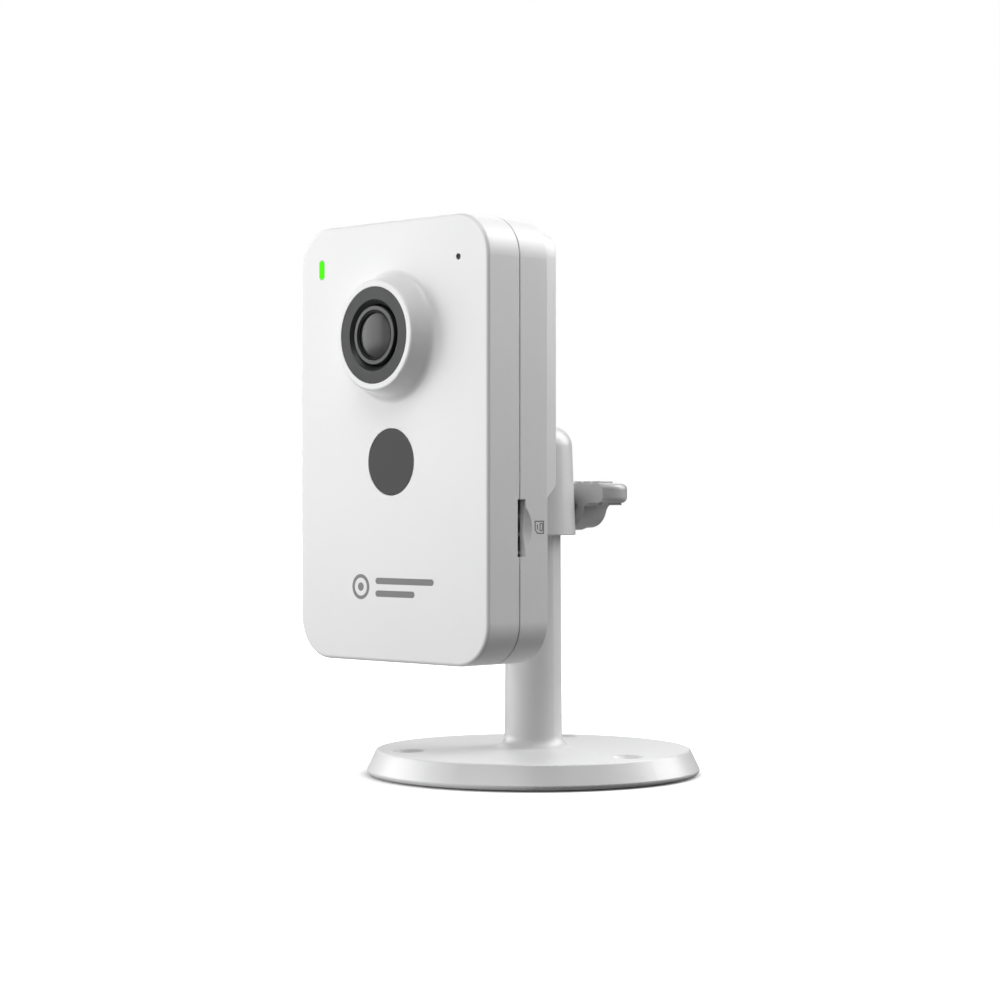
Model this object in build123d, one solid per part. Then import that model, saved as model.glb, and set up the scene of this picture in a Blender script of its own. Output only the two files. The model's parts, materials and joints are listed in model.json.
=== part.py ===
from build123d import *

import math
import os

# An indoor cube camera on a round weighted stand. The head tilts on a lug of the swivel, the swivel
# turns on the pole, and a winged knob clamps it. Sizes are in millimetres. +Z is up, the lens looks
# along -Y, and the origin is the middle of the foot on the pole's axis.

# ------------------------------------------------------------------ clearances
RUNNING_FIT = 0.06      # radial, a shaft that turns or a piece that slides in a bore
SCREW_FIT = 0.03        # radial, a screw in the hole it is driven into
SEAT_GAP = 0.15         # round a piece that drops into a recess
SLIDE_GAP = 0.10        # beside a flat piece that slides

# ----------------------------------------------------------------------- stand
BASE_WIDE_R = 41.3
BASE_WIDE_Z = 1.5
BASE_TOP_R = 39.0
BASE_RIM_Z = 6.3
BASE_RISE = 0.5
BASE_LIFT = 0.4
BASE_TOP_WALL = 1.9
BASE_SKIRT = 2.6
BASE_EDGE = 0.9
RIM_EDGE = 0.6
POLE_LOW_R = 7.2
POLE_TOP_R = 6.8
POLE_FILLET = 3.0
POLE_BORE_R = 4.4
PAD_THICKNESS = 1.5
MOUNT_RING_R = 31.65
MOUNT_COUNT = 3
MOUNT_HOLE_R = 2.2
MOUNT_HEAD_R = 4.15
MOUNT_BOSS_R = 5.2

# ---------------------------------------------------------------------- swivel
SWIVEL_BOTTOM_Z = 59.4
SWIVEL_HEIGHT = 27.1
SWIVEL_CROWN_R = 5.3
SPIGOT_R = 5.4
SWIVEL_LOW_WALL = 5.15  # round the spigot, at the lower face
SWIVEL_HIGH_WALL = 4.05
SPIGOT_BORE_R = 2.6
SHOULDER_DEPTH = 1.6
WASHER_THICKNESS = 0.8
SWIVEL_CROWN_WALL = 3.2
SPIGOT_END_GAP = 0.5
GROOVE_DEPTH = 0.8
GROOVE_SLACK = 0.25

# ------------------------------------------------------------- clamp and knob
CLAMP_HEIGHT = 7.2      # knob axis above the swivel's lower face
BRAKE_R = 2.0
BRAKE_LENGTH = 1.6
BRAKE_START_GAP = 0.05
BOLT_R = 2.0
BOLT_TIP_R = 1.5
BOLT_HEAD_FLATS = 7.0
BOLT_HEAD_HEIGHT = 2.8
INSERT_R = 2.8
INSERT_LENGTH = 2.3
SPOT_FACE_DEPTH = 0.25
SPOT_FACE_R = 6.4
KNOB_GAP = 1.6          # from the swivel's rear to the knob's front face
KNOB_LENGTH = 9.1
KNOB_HUB_R = 5.6
KNOB_COLLAR_R = 6.1
KNOB_COLLAR_LENGTH = 5.0
WING_REACH = 14.3
WING_CORNER = 12.5
WING_THICKNESS = 4.9
WING_FILLET = 3.0
KNOB_EDGE = 1.5
GRIP_HEIGHT = 0.4
GRIP_WIDTH = 2.1
GRIP_PITCH = 3.2
GRIP_LENGTH = 5.0
GRIP_INSET = 3.0        # the upper bars, from the wing's corner
GRIP_COUNT = 3

# ----------------------------------------------------------------- tilt hinge
PIVOT_HEIGHT = 21.1     # above the swivel's lower face
PIVOT_REACH = 16.0      # in front of the pole's axis
PIVOT_TO_REAR = 7.0     # from the pivot to the head's rear plane
PIVOT_TO_BOTTOM = 50.7  # from the pivot down to the head's lower face
LUG_WIDTH = 5.0
LUG_ROOT_GAP = 1.8      # from the lug's root to the swivel's bore
LUG_R = 4.5
TILT_WASHER_THICKNESS = 0.5
TILT_WASHER_R = 3.6
EAR_THICKNESS = 3.0
TILT_SCREW_R = 1.5
TILT_HEAD_R = 2.8
TILT_HEAD_HEIGHT = 1.9
TILT_NUT_FLATS = 5.5
TILT_NUT_HEIGHT = 2.4
TILT_SCREW_SPARE = 1.2
BRACKET_WIDTH = 22.0
BRACKET_HEIGHT = 17.0
BRACKET_DROP = 7.5      # plate's lower edge under the pivot
BRACKET_PLATE = 2.0
BRACKET_CORNER = 2.0
BRACKET_SCREW_R = 1.0
BRACKET_SCREW_HEAD_R = 1.9
BRACKET_SCREW_LENGTH = 3.4
BRACKET_SCREW_INSET = 2.6

# ------------------------------------------------------------------ head shell
HEAD_WIDTH = 65.0
HEAD_HEIGHT = 104.0
HEAD_CORNER = 10.0
HEAD_WALL = 1.8
FRONT_EDGE = 0.8
REAR_EDGE = 0.3
FRONT_DEPTH = 10.0
SEAM_GAP = 0.4
REAR_DEPTH = 9.1
BUMP_DEPTH = 5.5
BUMP_INSET = 1.65
BUMP_CORNER = 7.4
BUMP_DRAFT = 7.0
BUMP_BOTTOM = 37.4      # slope's foot above the head's lower face
BUMP_SLOPE = 4.5
BUMP_SLOPE_R = 3.0
BUMP_EDGE = 0.8
TONGUE_GAP = 0.1
TONGUE_WALL = 1.0
TONGUE_LENGTH = 2.0
TONGUE_ROOT = 1.4

# ------------------------------------------------------------ lens and its rim
LENS_DROP = 27.2        # lens axis under the head's top
RIM_PROUD = 5.6
RIM_R = 13.0
RIM_WALL = 1.6
RIM_BASE_R = 14.5
RIM_FLARE = 1.8
RIM_ROUND = 0.6
RIM_SEAT_DEPTH = 3.6
RIM_SEAT_GAP = 0.05
LENS_PASSAGE_R = 7.9
TRIM_RECESS = 0.05
TRIM_INNER_R = 8.4
TRIM_BEVEL_R = 7.3
TRIM_BEVEL_DEPTH = 1.3
BARREL_R = 6.0
BARREL_HEAD_R = 6.95
BARREL_HEAD_LENGTH = 3.6
BARREL_END_GAP = 0.85   # from the barrel's inner end to the day filter's guide
BARREL_MOUTH_R = 5.95
BARREL_RECESS = 0.2
RETAINER_INNER_R = 5.3
RETAINER_DEPTH = 0.6
RETAINER_THICKNESS = 0.4
FRONT_GLASS_R = 5.25
FRONT_GLASS_BOW = 0.7
FRONT_GLASS_THICKNESS = 2.2
MIDDLE_GLASS_R = 4.4
MIDDLE_GLASS_THICKNESS = 2.4
REAR_GLASS_R = 3.6
REAR_GLASS_THICKNESS = 2.0
INNER_GLASS_BOW = 0.4
GLASS_EDGE = 0.7
GLASS_SPACER = 1.0
GLASS_GAP = 0.05

# --------------------------------------------------------- front face features
WINDOW_R = 7.87
WINDOW_DROP = 29.6      # window's middle under the lens axis
WINDOW_RECESS = 0.1
WINDOW_FLANGE_R = 9.3
WINDOW_FLANGE = 1.0
WINDOW_GAP = 0.08
LIGHT_INSET_X = 7.8
LIGHT_INSET_Z = 10.1
LIGHT_WIDTH = 1.7
LIGHT_HEIGHT = 4.5
LIGHT_FLANGE = 0.9
MICROPHONE_INSET_X = 9.7
MICROPHONE_INSET_Z = 10.0
MICROPHONE_HOLE_R = 0.75

# ------------------------------------------------------------------- card slot
SLOT_BOTTOM = 25.1      # slot's lower end above the head's lower face
SLOT_LENGTH = 13.3
SLOT_FRONT_LIP = 0.5    # slot's share of the front cover
SLOT_REAR_LIP = 1.7     # slot's share of the rear cover
SCOOP_LENGTH = 9.7
SCOOP_REACH = 2.15
SCOOP_DEPTH = 0.9
SLOT_RIB = 0.6
SLOT_RIB_REACH = 1.3
SLOT_RIB_DEPTH = 2.0
SLOT_RIB_PITCH = 4.25
SLOT_RIB_START = 1.0
SLOT_RIB_COUNT = 3
CARD_WIDTH = 11.0
CARD_LENGTH = 15.0
CARD_THICKNESS = 0.75
CARD_CORNER = 0.7
CARD_NOTCH = 1.6
CARD_RECESS = 2.2       # card's outer edge inside the head's side
CARD_SLOT_GAP = 0.2     # card's front face to the slot's front edge
SOCKET_WALL = 1.4
SOCKET_LID = 0.3
SOCKET_MOUTH = 3.5      # socket's mouth inside the head's side

# ------------------------------------------------------- main board and fixings
BOARD_THICKNESS = 1.2
BOARD_BACK = 0.8        # board's front face behind the front edge of the rear cover
BOARD_EDGE_GAP = 0.8
BOARD_CORNER = 6.5
CASE_SCREW_R = 1.25
CASE_SCREW_HEAD_R = 2.25
CASE_SCREW_HEAD = 1.5
CASE_SCREW_SUNK = 0.6
CASE_SCREW_BITE = 7.5
CASE_BOSS_R = 2.7
CASE_TUBE_R = 3.3
CASE_INSET_X = 7.5
CASE_INSET_LOW = 7.7
CASE_INSET_HIGH = 20.8
CASE_JOINT_GAP = 0.2
SMALL_SCREW_R = 0.9
SMALL_SCREW_HEAD_R = 1.8
SMALL_SCREW_HEAD = 1.1
SMALL_SCREW_LENGTH = 5.0
SMALL_BOSS_R = 2.1
BOARD_INSET_LOW_X = 7.5
BOARD_INSET_LOW_Z = 18.0
BOARD_HIGH_X = 15.0
BOARD_INSET_HIGH_Z = 6.8

# -------------------------------------------------- lens holder and day filter
SENSOR_SIZE = (7.0, 0.9, 6.0)
HOLDER_WIDTH = 19.6
HOLDER_HEIGHT = 17.0
HOLDER_DEPTH = 5.6
HOLDER_TUBE_R = 7.4
HOLDER_TUBE_LENGTH = 2.6
HOLDER_CAVITY = (9.0, 8.4)
HOLDER_EAR_R = 2.4
HOLDER_EAR = 1.6
HOLDER_EAR_X = 11.4
HOLDER_EAR_Z = 5.6
FILTER_PITCH = 6.2
FILTER_FRAME = (12.4, 1.0, 7.8)
FILTER_BACK = 2.0       # filter frame's rear face in front of the board
FILTER_PANE = 5.2
FILTER_PANE_THICKNESS = 0.5
FILTER_PANE_SEAT = 0.6
COIL_R = 2.1
COIL_LENGTH = 9.0
COIL_SIZE = 5.1
COIL_CHEEK = 1.0

# ------------------------------------------------------------ parts on a board
POWER_FROM_BOTTOM = 11.0
POWER_X = 6.0
POWER_SHELL = (7.5, 2.85)
POWER_SHELL_WALL = 0.3
POWER_BASE = 1.0
POWER_TONGUE = (4.6, 0.7)
POWER_TONGUE_END = 0.8
POWER_RECESS = (11.2, 7.2)
POWER_RECESS_DEPTH = 1.2
RESET_X = 18.0
RESET_FROM_BOTTOM = 11.0
RESET_R = 1.5
RESET_FLANGE_R = 2.3
RESET_FLANGE = 0.6
RESET_SUNK = 0.4
RESET_INNER = 2.5       # button's inner end inside the rear wall's inner face
RESET_STOP_GAP = 0.1
SWITCH_SIZE = (4.5, 1.6, 4.5)
SWITCH_STEM_R = 1.1
SWITCH_STEM = 0.5
SPEAKER_X = -13.5
SPEAKER_FROM_BOTTOM = 18.2
SPEAKER_R = 8.0
SPEAKER_DEPTH = 3.8
SPEAKER_RIM = 1.3
SPEAKER_WALL = 0.8
SPEAKER_MAGNET_R = 4.8
SPEAKER_CONE_R = 2.7
SPEAKER_GASKET = 0.9
GRILLE_HOLE_R = 0.8
GRILLE_RINGS = ((1, 0.0), (6, 2.7), (12, 5.4))
PROCESSOR_SIZE = (13.0, 1.2, 13.0)
THERMAL_PAD_SIZE = (12.0, 0.9, 12.0)
SPREADER_SIZE = (40.0, 1.5, 17.0)
SPREADER_LIFT = 4.0     # over the lower end of the hollow inside the bump
FIN_COUNT = 7
FIN_THICKNESS = 1.0
FIN_HEIGHT = 1.8
CHIP_SIZE = (8.0, 0.9, 9.0)
CHIP_X = -12.0
CHIP_PITCH = 11.0
CHIP_DROP = 24.0
RADIO_SIZE = (12.0, 1.8, 13.0)
RADIO_X = -19.6
RADIO_DROP = 5.0
CAN_SIZE = (13.0, 2.0, 13.0)
CAN_WALL = 0.3
CAN_X = 21.0
CAN_LIFT = 2.0          # over the card socket
STATUS_LED_SIZE = (1.6, 0.8, 3.2)
LIGHT_PIPE_GAP = 0.3
MICROPHONE_SIZE = (4.0, 1.1, 3.0)
BOOT_R = 2.2
BOOT_HOLE_R = 0.6
WINDOW_BOARD_SIZE = (26.0, 0.8, 13.0)
WINDOW_BOARD_GAP = 2.3  # window's flange to the board behind it
WINDOW_POST_X = 11.0
INFRARED_LED_SIZE = (3.5, 0.7, 3.5)
INFRARED_DOME_R = 1.1
INFRARED_X = 2.6
LIGHT_SENSOR_SIZE = (2.0, 0.7, 1.6)
LIGHT_SENSOR_X = -3.4
CABLE_WIDTH = 6.0
CABLE_THICKNESS = 0.3
CABLE_BEND = 0.8
CABLE_SOCKET_SIZE = (7.4, 1.5, 3.0)
CABLE_SOCKET_DROP = 4.2
CABLE_RUN = 8.0
ANTENNA_WIDTH = 28.0
ANTENNA_THICKNESS = 0.3
ANTENNA_SETBACK = 1.0   # from the front wall, and from the rear cover's tongue
ANTENNA_LEAD_R = 0.45
ANTENNA_LEAD_BEND = 2.5
ANTENNA_LEAD_INSET = 2.0
LABEL_SIZE = (26.0, 0.15, 13.0)
LABEL_CORNER = 1.0
LABEL_SUNK = 0.2
LABEL_RISE = 24.0       # label's middle above the pivot

# --------------------------------------------------------------- derived places
SHOULDER_Z = SWIVEL_BOTTOM_Z + SHOULDER_DEPTH
WASHER_TOP_Z = SHOULDER_Z + WASHER_THICKNESS
SWIVEL_TOP_Z = SWIVEL_BOTTOM_Z + SWIVEL_HEIGHT
SWIVEL_BORE_TOP_Z = SWIVEL_TOP_Z - SWIVEL_CROWN_WALL
SPIGOT_TOP_Z = SWIVEL_BORE_TOP_Z - SPIGOT_END_GAP
CLAMP_Z = SWIVEL_BOTTOM_Z + CLAMP_HEIGHT
SWIVEL_LOW_R = SPIGOT_R + SWIVEL_LOW_WALL
SWIVEL_HIGH_R = SPIGOT_R + SWIVEL_HIGH_WALL
SWIVEL_CLAMP_R = SWIVEL_LOW_R - (SWIVEL_LOW_R - SWIVEL_HIGH_R) * CLAMP_HEIGHT / SWIVEL_HEIGHT
SWIVEL_BORE_R = SPIGOT_R + RUNNING_FIT
GROOVE_R = SPIGOT_R - GROOVE_DEPTH
SPOT_FACE_Y = SWIVEL_CLAMP_R - SPOT_FACE_DEPTH
BRAKE_Y = GROOVE_R + BRAKE_START_GAP
BRAKE_END_Y = BRAKE_Y + BRAKE_LENGTH
INSERT_Y = SPOT_FACE_Y - INSERT_LENGTH
KNOB_Y = SWIVEL_CLAMP_R + KNOB_GAP
KNOB_END_Y = KNOB_Y + KNOB_LENGTH

PIVOT_Y = -PIVOT_REACH
PIVOT_Z = SWIVEL_BOTTOM_Z + PIVOT_HEIGHT
EAR_INNER_X = LUG_WIDTH / 2 + TILT_WASHER_THICKNESS
EAR_OUTER_X = EAR_INNER_X + EAR_THICKNESS
BRACKET_BOTTOM_Z = PIVOT_Z - BRACKET_DROP
BRACKET_MIDDLE_Z = BRACKET_BOTTOM_Z + BRACKET_HEIGHT / 2

HEAD_BOTTOM_Z = PIVOT_Z - PIVOT_TO_BOTTOM
HEAD_TOP_Z = HEAD_BOTTOM_Z + HEAD_HEIGHT
HEAD_MIDDLE_Z = HEAD_BOTTOM_Z + HEAD_HEIGHT / 2
HALF_WIDTH = HEAD_WIDTH / 2
REAR_Y = PIVOT_Y - PIVOT_TO_REAR
LOW_REAR_Y = REAR_Y - BUMP_DEPTH
REAR_COVER_Y = LOW_REAR_Y - REAR_DEPTH
FRONT_COVER_Y = REAR_COVER_Y - SEAM_GAP
FRONT_Y = FRONT_COVER_Y - FRONT_DEPTH
FRONT_WALL_Y = FRONT_Y + HEAD_WALL
LOW_REAR_WALL_Y = LOW_REAR_Y - HEAD_WALL
REAR_WALL_Y = REAR_Y - HEAD_WALL
BOARD_Y = REAR_COVER_Y + BOARD_BACK
BOARD_BACK_Y = BOARD_Y + BOARD_THICKNESS
BOARD_HALF_WIDTH = HALF_WIDTH - HEAD_WALL - TONGUE_GAP - TONGUE_WALL - BOARD_EDGE_GAP
BOARD_HEIGHT = HEAD_HEIGHT - HEAD_WIDTH + 2 * BOARD_HALF_WIDTH

LENS_Z = HEAD_TOP_Z - LENS_DROP
WINDOW_Z = LENS_Z - WINDOW_DROP
RIM_Y = FRONT_Y - RIM_PROUD
RIM_SEAT_R = RIM_R - RIM_WALL
RIM_SEAT_Y = RIM_Y + RIM_SEAT_DEPTH
BARREL_Y = RIM_Y + BARREL_RECESS
FILTER_Y = BOARD_Y - FILTER_BACK - FILTER_FRAME[1]
HOLDER_Y = BOARD_Y - HOLDER_DEPTH
BARREL_END_Y = FILTER_Y - SLIDE_GAP - BARREL_END_GAP
RETAINER_Y = BARREL_Y + RETAINER_DEPTH - RETAINER_THICKNESS
FRONT_GLASS_Y = BARREL_Y + RETAINER_DEPTH
MIDDLE_GLASS_Y = FRONT_GLASS_Y + FRONT_GLASS_THICKNESS + GLASS_SPACER
REAR_GLASS_Y = MIDDLE_GLASS_Y + MIDDLE_GLASS_THICKNESS + GLASS_SPACER
LIGHT_X = -(HALF_WIDTH - LIGHT_INSET_X)
LIGHT_Z = HEAD_TOP_Z - LIGHT_INSET_Z
MICROPHONE_X = HALF_WIDTH - MICROPHONE_INSET_X
MICROPHONE_Z = HEAD_TOP_Z - MICROPHONE_INSET_Z
WINDOW_BACK_Y = FRONT_WALL_Y + WINDOW_FLANGE
WINDOW_BOARD_Y = WINDOW_BACK_Y + WINDOW_BOARD_GAP

SLOT_BOTTOM_Z = HEAD_BOTTOM_Z + SLOT_BOTTOM
SLOT_MIDDLE_Z = SLOT_BOTTOM_Z + SLOT_LENGTH / 2
SLOT_FRONT_Y = FRONT_COVER_Y - SLOT_FRONT_LIP
SLOT_REAR_Y = REAR_COVER_Y + SLOT_REAR_LIP
CARD_Y = SLOT_FRONT_Y + CARD_SLOT_GAP
CARD_END_X = HALF_WIDTH - CARD_RECESS
CARD_START_X = CARD_END_X - CARD_LENGTH
SOCKET_END_X = HALF_WIDTH - SOCKET_MOUTH

POWER_Z = HEAD_BOTTOM_Z + POWER_FROM_BOTTOM
RESET_Z = HEAD_BOTTOM_Z + RESET_FROM_BOTTOM
SPEAKER_Z = HEAD_BOTTOM_Z + SPEAKER_FROM_BOTTOM
ANTENNA_Y = FRONT_WALL_Y + ANTENNA_SETBACK
ANTENNA_END_Y = REAR_COVER_Y - TONGUE_LENGTH - ANTENNA_SETBACK
ANTENNA_Z = HEAD_TOP_Z - HEAD_WALL - ANTENNA_THICKNESS
BUMP_HOLLOW_Z = HEAD_BOTTOM_Z + BUMP_BOTTOM + BUMP_SLOPE + HEAD_WALL
PROCESSOR_Z = BUMP_HOLLOW_Z + SPREADER_LIFT + SPREADER_SIZE[2] / 2
CAN_Z = SLOT_MIDDLE_Z + CARD_WIDTH / 2 + SOCKET_WALL + CAN_LIFT + CAN_SIZE[2] / 2
SPREADER_Y = BOARD_BACK_Y + PROCESSOR_SIZE[1] + THERMAL_PAD_SIZE[1]

CASE_SCREW_PLACES = [
    (side * (HALF_WIDTH - CASE_INSET_X), height)
    for side in (-1, 1)
    for height in (HEAD_BOTTOM_Z + CASE_INSET_LOW, HEAD_TOP_Z - CASE_INSET_HIGH)
]
BOARD_SCREW_PLACES = [
    (side * reach, height)
    for side in (-1, 1)
    for reach, height in (
        (HALF_WIDTH - BOARD_INSET_LOW_X, HEAD_BOTTOM_Z + BOARD_INSET_LOW_Z),
        (BOARD_HIGH_X, HEAD_TOP_Z - BOARD_INSET_HIGH_Z),
    )
]
HOLDER_SCREW_PLACES = [
    (HOLDER_EAR_X, LENS_Z - HOLDER_EAR_Z),
    (-HOLDER_EAR_X, LENS_Z + HOLDER_EAR_Z),
]
WINDOW_POST_PLACES = [(side * WINDOW_POST_X, WINDOW_Z) for side in (-1, 1)]
BRACKET_SCREW_PLACES = [
    (side * (BRACKET_WIDTH / 2 - BRACKET_SCREW_INSET), height)
    for side in (-1, 1)
    for height in (
        BRACKET_BOTTOM_Z + BRACKET_SCREW_INSET,
        BRACKET_BOTTOM_Z + BRACKET_HEIGHT - BRACKET_SCREW_INSET,
    )
]
MOUNT_PLACES = [
    (
        MOUNT_RING_R * math.cos(math.tau * index / MOUNT_COUNT),
        MOUNT_RING_R * math.sin(math.tau * index / MOUNT_COUNT),
    )
    for index in range(MOUNT_COUNT)
]


# ---------------------------------------------------------------- basic shapes
def outline(*corners):
    """A closed face from (x, y) or (x, y, round) corners."""
    points = [corner[:2] for corner in corners]
    rounds = [corner[2] if len(corner) == 3 else 0 for corner in corners]
    if any(rounds):
        return make_face(FilletPolyline(*points, radius=rounds, close=True))
    return make_face(Polyline(*points, close=True))


def block(low, high):
    """A box between two corners."""
    size = [top - bottom for bottom, top in zip(low, high)]
    middle = [(top + bottom) / 2 for bottom, top in zip(low, high)]
    return Pos(*middle) * Box(*size)


def chip(size, x, y, z):
    """A flat block of (width, depth, height), centred on x and z, that starts at y and goes back."""
    width, depth, height = size
    return block((x - width / 2, y, z - height / 2), (x + width / 2, y + depth, z + height / 2))


def rod_x(radius, start, end, y, z):
    """A cylinder along X."""
    return Pos((start + end) / 2, y, z) * Rot(0, 90, 0) * Cylinder(radius, end - start)


def rod_y(radius, start, end, x, z):
    """A cylinder along Y."""
    return Pos(x, (start + end) / 2, z) * Rot(90, 0, 0) * Cylinder(radius, end - start)


def rod_z(radius, start, end, x=0, y=0):
    """A cylinder along Z."""
    return Pos(x, y, (start + end) / 2) * Cylinder(radius, end - start)


def cone_y(start_radius, end_radius, start, end, x, z):
    """A cone along Y, whose radius goes from start_radius to end_radius."""
    return Pos(x, (start + end) / 2, z) * Rot(-90, 0, 0) * Cone(start_radius, end_radius, end - start)


def hexagon_y(flats, start, end, x, z):
    """A hexagonal bar along Y."""
    plane = Plane((x, start, z), x_dir=(1, 0, 0), z_dir=(0, 1, 0))
    return extrude(plane * RegularPolygon(flats / 2, 6, major_radius=False), end - start)


def hexagon_x(flats, start, end, y, z):
    """A hexagonal bar along X."""
    plane = Plane((start, y, z), x_dir=(0, 1, 0), z_dir=(1, 0, 0))
    return extrude(plane * RegularPolygon(flats / 2, 6, major_radius=False), end - start)


def turned_z(*corners):
    """A solid turned about Z from (radius, z) corners."""
    return revolve(Plane.XZ * outline(*corners), Axis.Z)


def turned_y(x, z, *corners):
    """A solid turned about a line along Y from (radius, y) corners."""
    return Pos(x, 0, z) * revolve(outline(*corners), Axis.Y)


def panel(width, height, corner, start, end, x=0, z=0, draft=0):
    """A plate with rounded corners that faces along Y."""
    sketch = RectangleRounded(width, height, corner)
    plane = Plane((x, start, z), x_dir=(-1, 0, 0), z_dir=(0, 1, 0))
    return extrude(plane * sketch, end - start, taper=draft)


def capsule_y(width, height, start, end, x, z):
    """A bar along Y with a capsule section that stands upright."""
    sketch = Rot(0, 0, 90) * SlotOverall(height, width)
    return extrude(Plane((x, start, z), x_dir=(-1, 0, 0), z_dir=(0, 1, 0)) * sketch, end - start)


def joined(pieces):
    """One solid from overlapping pieces."""
    total = pieces[0]
    for piece in pieces[1:]:
        total = total + piece
    return total


def without(body, cuts):
    """A body less every cut."""
    for cut in cuts:
        body = body - cut
    return body


def group(pieces):
    """Separate solids that share one node."""
    return Compound(children=[solid for piece in pieces for solid in piece.solids()])


# ----------------------------------------------------------------------- stand
def make_stand_base():
    """Disc, pole and spigot in one moulding, hollow underneath."""
    cone_z = BASE_RIM_Z + BASE_RISE
    outer = turned_z(
        (0, BASE_LIFT),
        (BASE_WIDE_R, BASE_LIFT, BASE_EDGE),
        (BASE_WIDE_R, BASE_WIDE_Z),
        (BASE_TOP_R, BASE_RIM_Z, RIM_EDGE),
        (POLE_LOW_R, cone_z, POLE_FILLET),
        (POLE_TOP_R, SHOULDER_Z),
        (SPIGOT_R, SHOULDER_Z),
        (SPIGOT_R, CLAMP_Z - BRAKE_R - GROOVE_SLACK),
        (GROOVE_R, CLAMP_Z - BRAKE_R - GROOVE_SLACK),
        (GROOVE_R, CLAMP_Z + BRAKE_R + GROOVE_SLACK),
        (SPIGOT_R, CLAMP_Z + BRAKE_R + GROOVE_SLACK),
        (SPIGOT_R, SPIGOT_TOP_Z),
        (0, SPIGOT_TOP_Z),
    )
    ceiling = BASE_RIM_Z - BASE_TOP_WALL
    hollow = rod_z(BASE_WIDE_R - BASE_SKIRT, BASE_LIFT, ceiling)
    bosses = [rod_z(MOUNT_BOSS_R, 0, ceiling, x, y) for x, y in MOUNT_PLACES]
    shell = joined([outer - hollow, *bosses])
    sink_depth = MOUNT_HEAD_R - MOUNT_HOLE_R
    cuts = [
        rod_z(POLE_BORE_R, BASE_LIFT, SHOULDER_Z - SHOULDER_DEPTH),
        rod_z(SPIGOT_BORE_R, SHOULDER_Z - SHOULDER_DEPTH, SPIGOT_TOP_Z - SHOULDER_DEPTH),
    ]
    for x, y in MOUNT_PLACES:
        cuts.append(rod_z(MOUNT_HOLE_R, 0, cone_z, x, y))
        sink_z = BASE_RIM_Z + BASE_RISE * (BASE_TOP_R - MOUNT_RING_R) / (BASE_TOP_R - POLE_LOW_R)
        sink = Cone(MOUNT_HOLE_R, MOUNT_HEAD_R, sink_depth)
        cuts.append(Pos(x, y, sink_z - sink_depth / 2) * sink)
        cuts.append(rod_z(MOUNT_HEAD_R, sink_z, cone_z + BASE_RISE, x, y))
    return without(shell, cuts)


def make_ballast_plate():
    """Steel ring under the disc that keeps the camera upright."""
    ring = rod_z(BASE_WIDE_R - BASE_SKIRT - 2 * SEAT_GAP, PAD_THICKNESS, BASE_RIM_Z - BASE_TOP_WALL)
    holes = [rod_z(MOUNT_BOSS_R + SEAT_GAP, PAD_THICKNESS, BASE_RIM_Z, x, y) for x, y in MOUNT_PLACES]
    return without(ring, [rod_z(POLE_BORE_R, 0, BASE_RIM_Z), *holes])


def make_foot_pad():
    """Soft ring that the stand rests on, flush with the three screw bosses."""
    ring = rod_z(BASE_WIDE_R - BASE_SKIRT - SEAT_GAP, 0, PAD_THICKNESS)
    holes = [rod_z(MOUNT_BOSS_R + SEAT_GAP, 0, PAD_THICKNESS, x, y) for x, y in MOUNT_PLACES]
    return without(ring, [rod_z(POLE_LOW_R, 0, PAD_THICKNESS), *holes])


# ---------------------------------------------------------------------- swivel
def make_swivel_housing():
    """Cap that turns on the spigot, with the tilt lug in front and the clamp bore behind."""
    cap = turned_z(
        (0, SWIVEL_BOTTOM_Z),
        (SWIVEL_LOW_R, SWIVEL_BOTTOM_Z, REAR_EDGE),
        (SWIVEL_HIGH_R, SWIVEL_TOP_Z, SWIVEL_CROWN_R),
        (0, SWIVEL_TOP_Z),
    )
    lug_half = LUG_WIDTH / 2
    lug = rod_x(LUG_R, -lug_half, lug_half, PIVOT_Y, PIVOT_Z)
    web_end = -SWIVEL_BORE_R - LUG_ROOT_GAP
    web = block((-lug_half, PIVOT_Y, PIVOT_Z - LUG_R), (lug_half, web_end, PIVOT_Z + LUG_R))
    body = joined([cap, lug, web])
    cuts = [
        rod_z(POLE_TOP_R + SEAT_GAP * 2, SWIVEL_BOTTOM_Z, WASHER_TOP_Z),
        rod_z(SWIVEL_BORE_R, WASHER_TOP_Z, SWIVEL_BORE_TOP_Z),
        rod_x(TILT_SCREW_R + RUNNING_FIT, -lug_half, lug_half, PIVOT_Y, PIVOT_Z),
        rod_y(BRAKE_R + RUNNING_FIT, 0, INSERT_Y, 0, CLAMP_Z),
        rod_y(INSERT_R, INSERT_Y, SPOT_FACE_Y, 0, CLAMP_Z),
        rod_y(SPOT_FACE_R, SPOT_FACE_Y, SWIVEL_LOW_R, 0, CLAMP_Z),
    ]
    return without(body, cuts)


def make_thrust_washer():
    """Slippery ring between the pole's shoulder and the swivel."""
    ring = rod_z(POLE_TOP_R, SHOULDER_Z, WASHER_TOP_Z)
    return ring - rod_z(SPIGOT_R + RUNNING_FIT, SHOULDER_Z, WASHER_TOP_Z)


def make_threaded_insert():
    """Brass nut set in the swivel's rear wall."""
    sleeve = rod_y(INSERT_R, INSERT_Y, SPOT_FACE_Y, 0, CLAMP_Z)
    return sleeve - rod_y(BOLT_R + RUNNING_FIT, INSERT_Y, SPOT_FACE_Y, 0, CLAMP_Z)


# ------------------------------------------------------------- clamp and knob
def make_brake_pad():
    """Shoe with a hollow end that presses in the spigot's groove."""
    shoe = rod_y(BRAKE_R, GROOVE_R - BRAKE_LENGTH, BRAKE_END_Y, 0, CLAMP_Z)
    return shoe - rod_z(BRAKE_Y, CLAMP_Z - BRAKE_R, CLAMP_Z + BRAKE_R)


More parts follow.
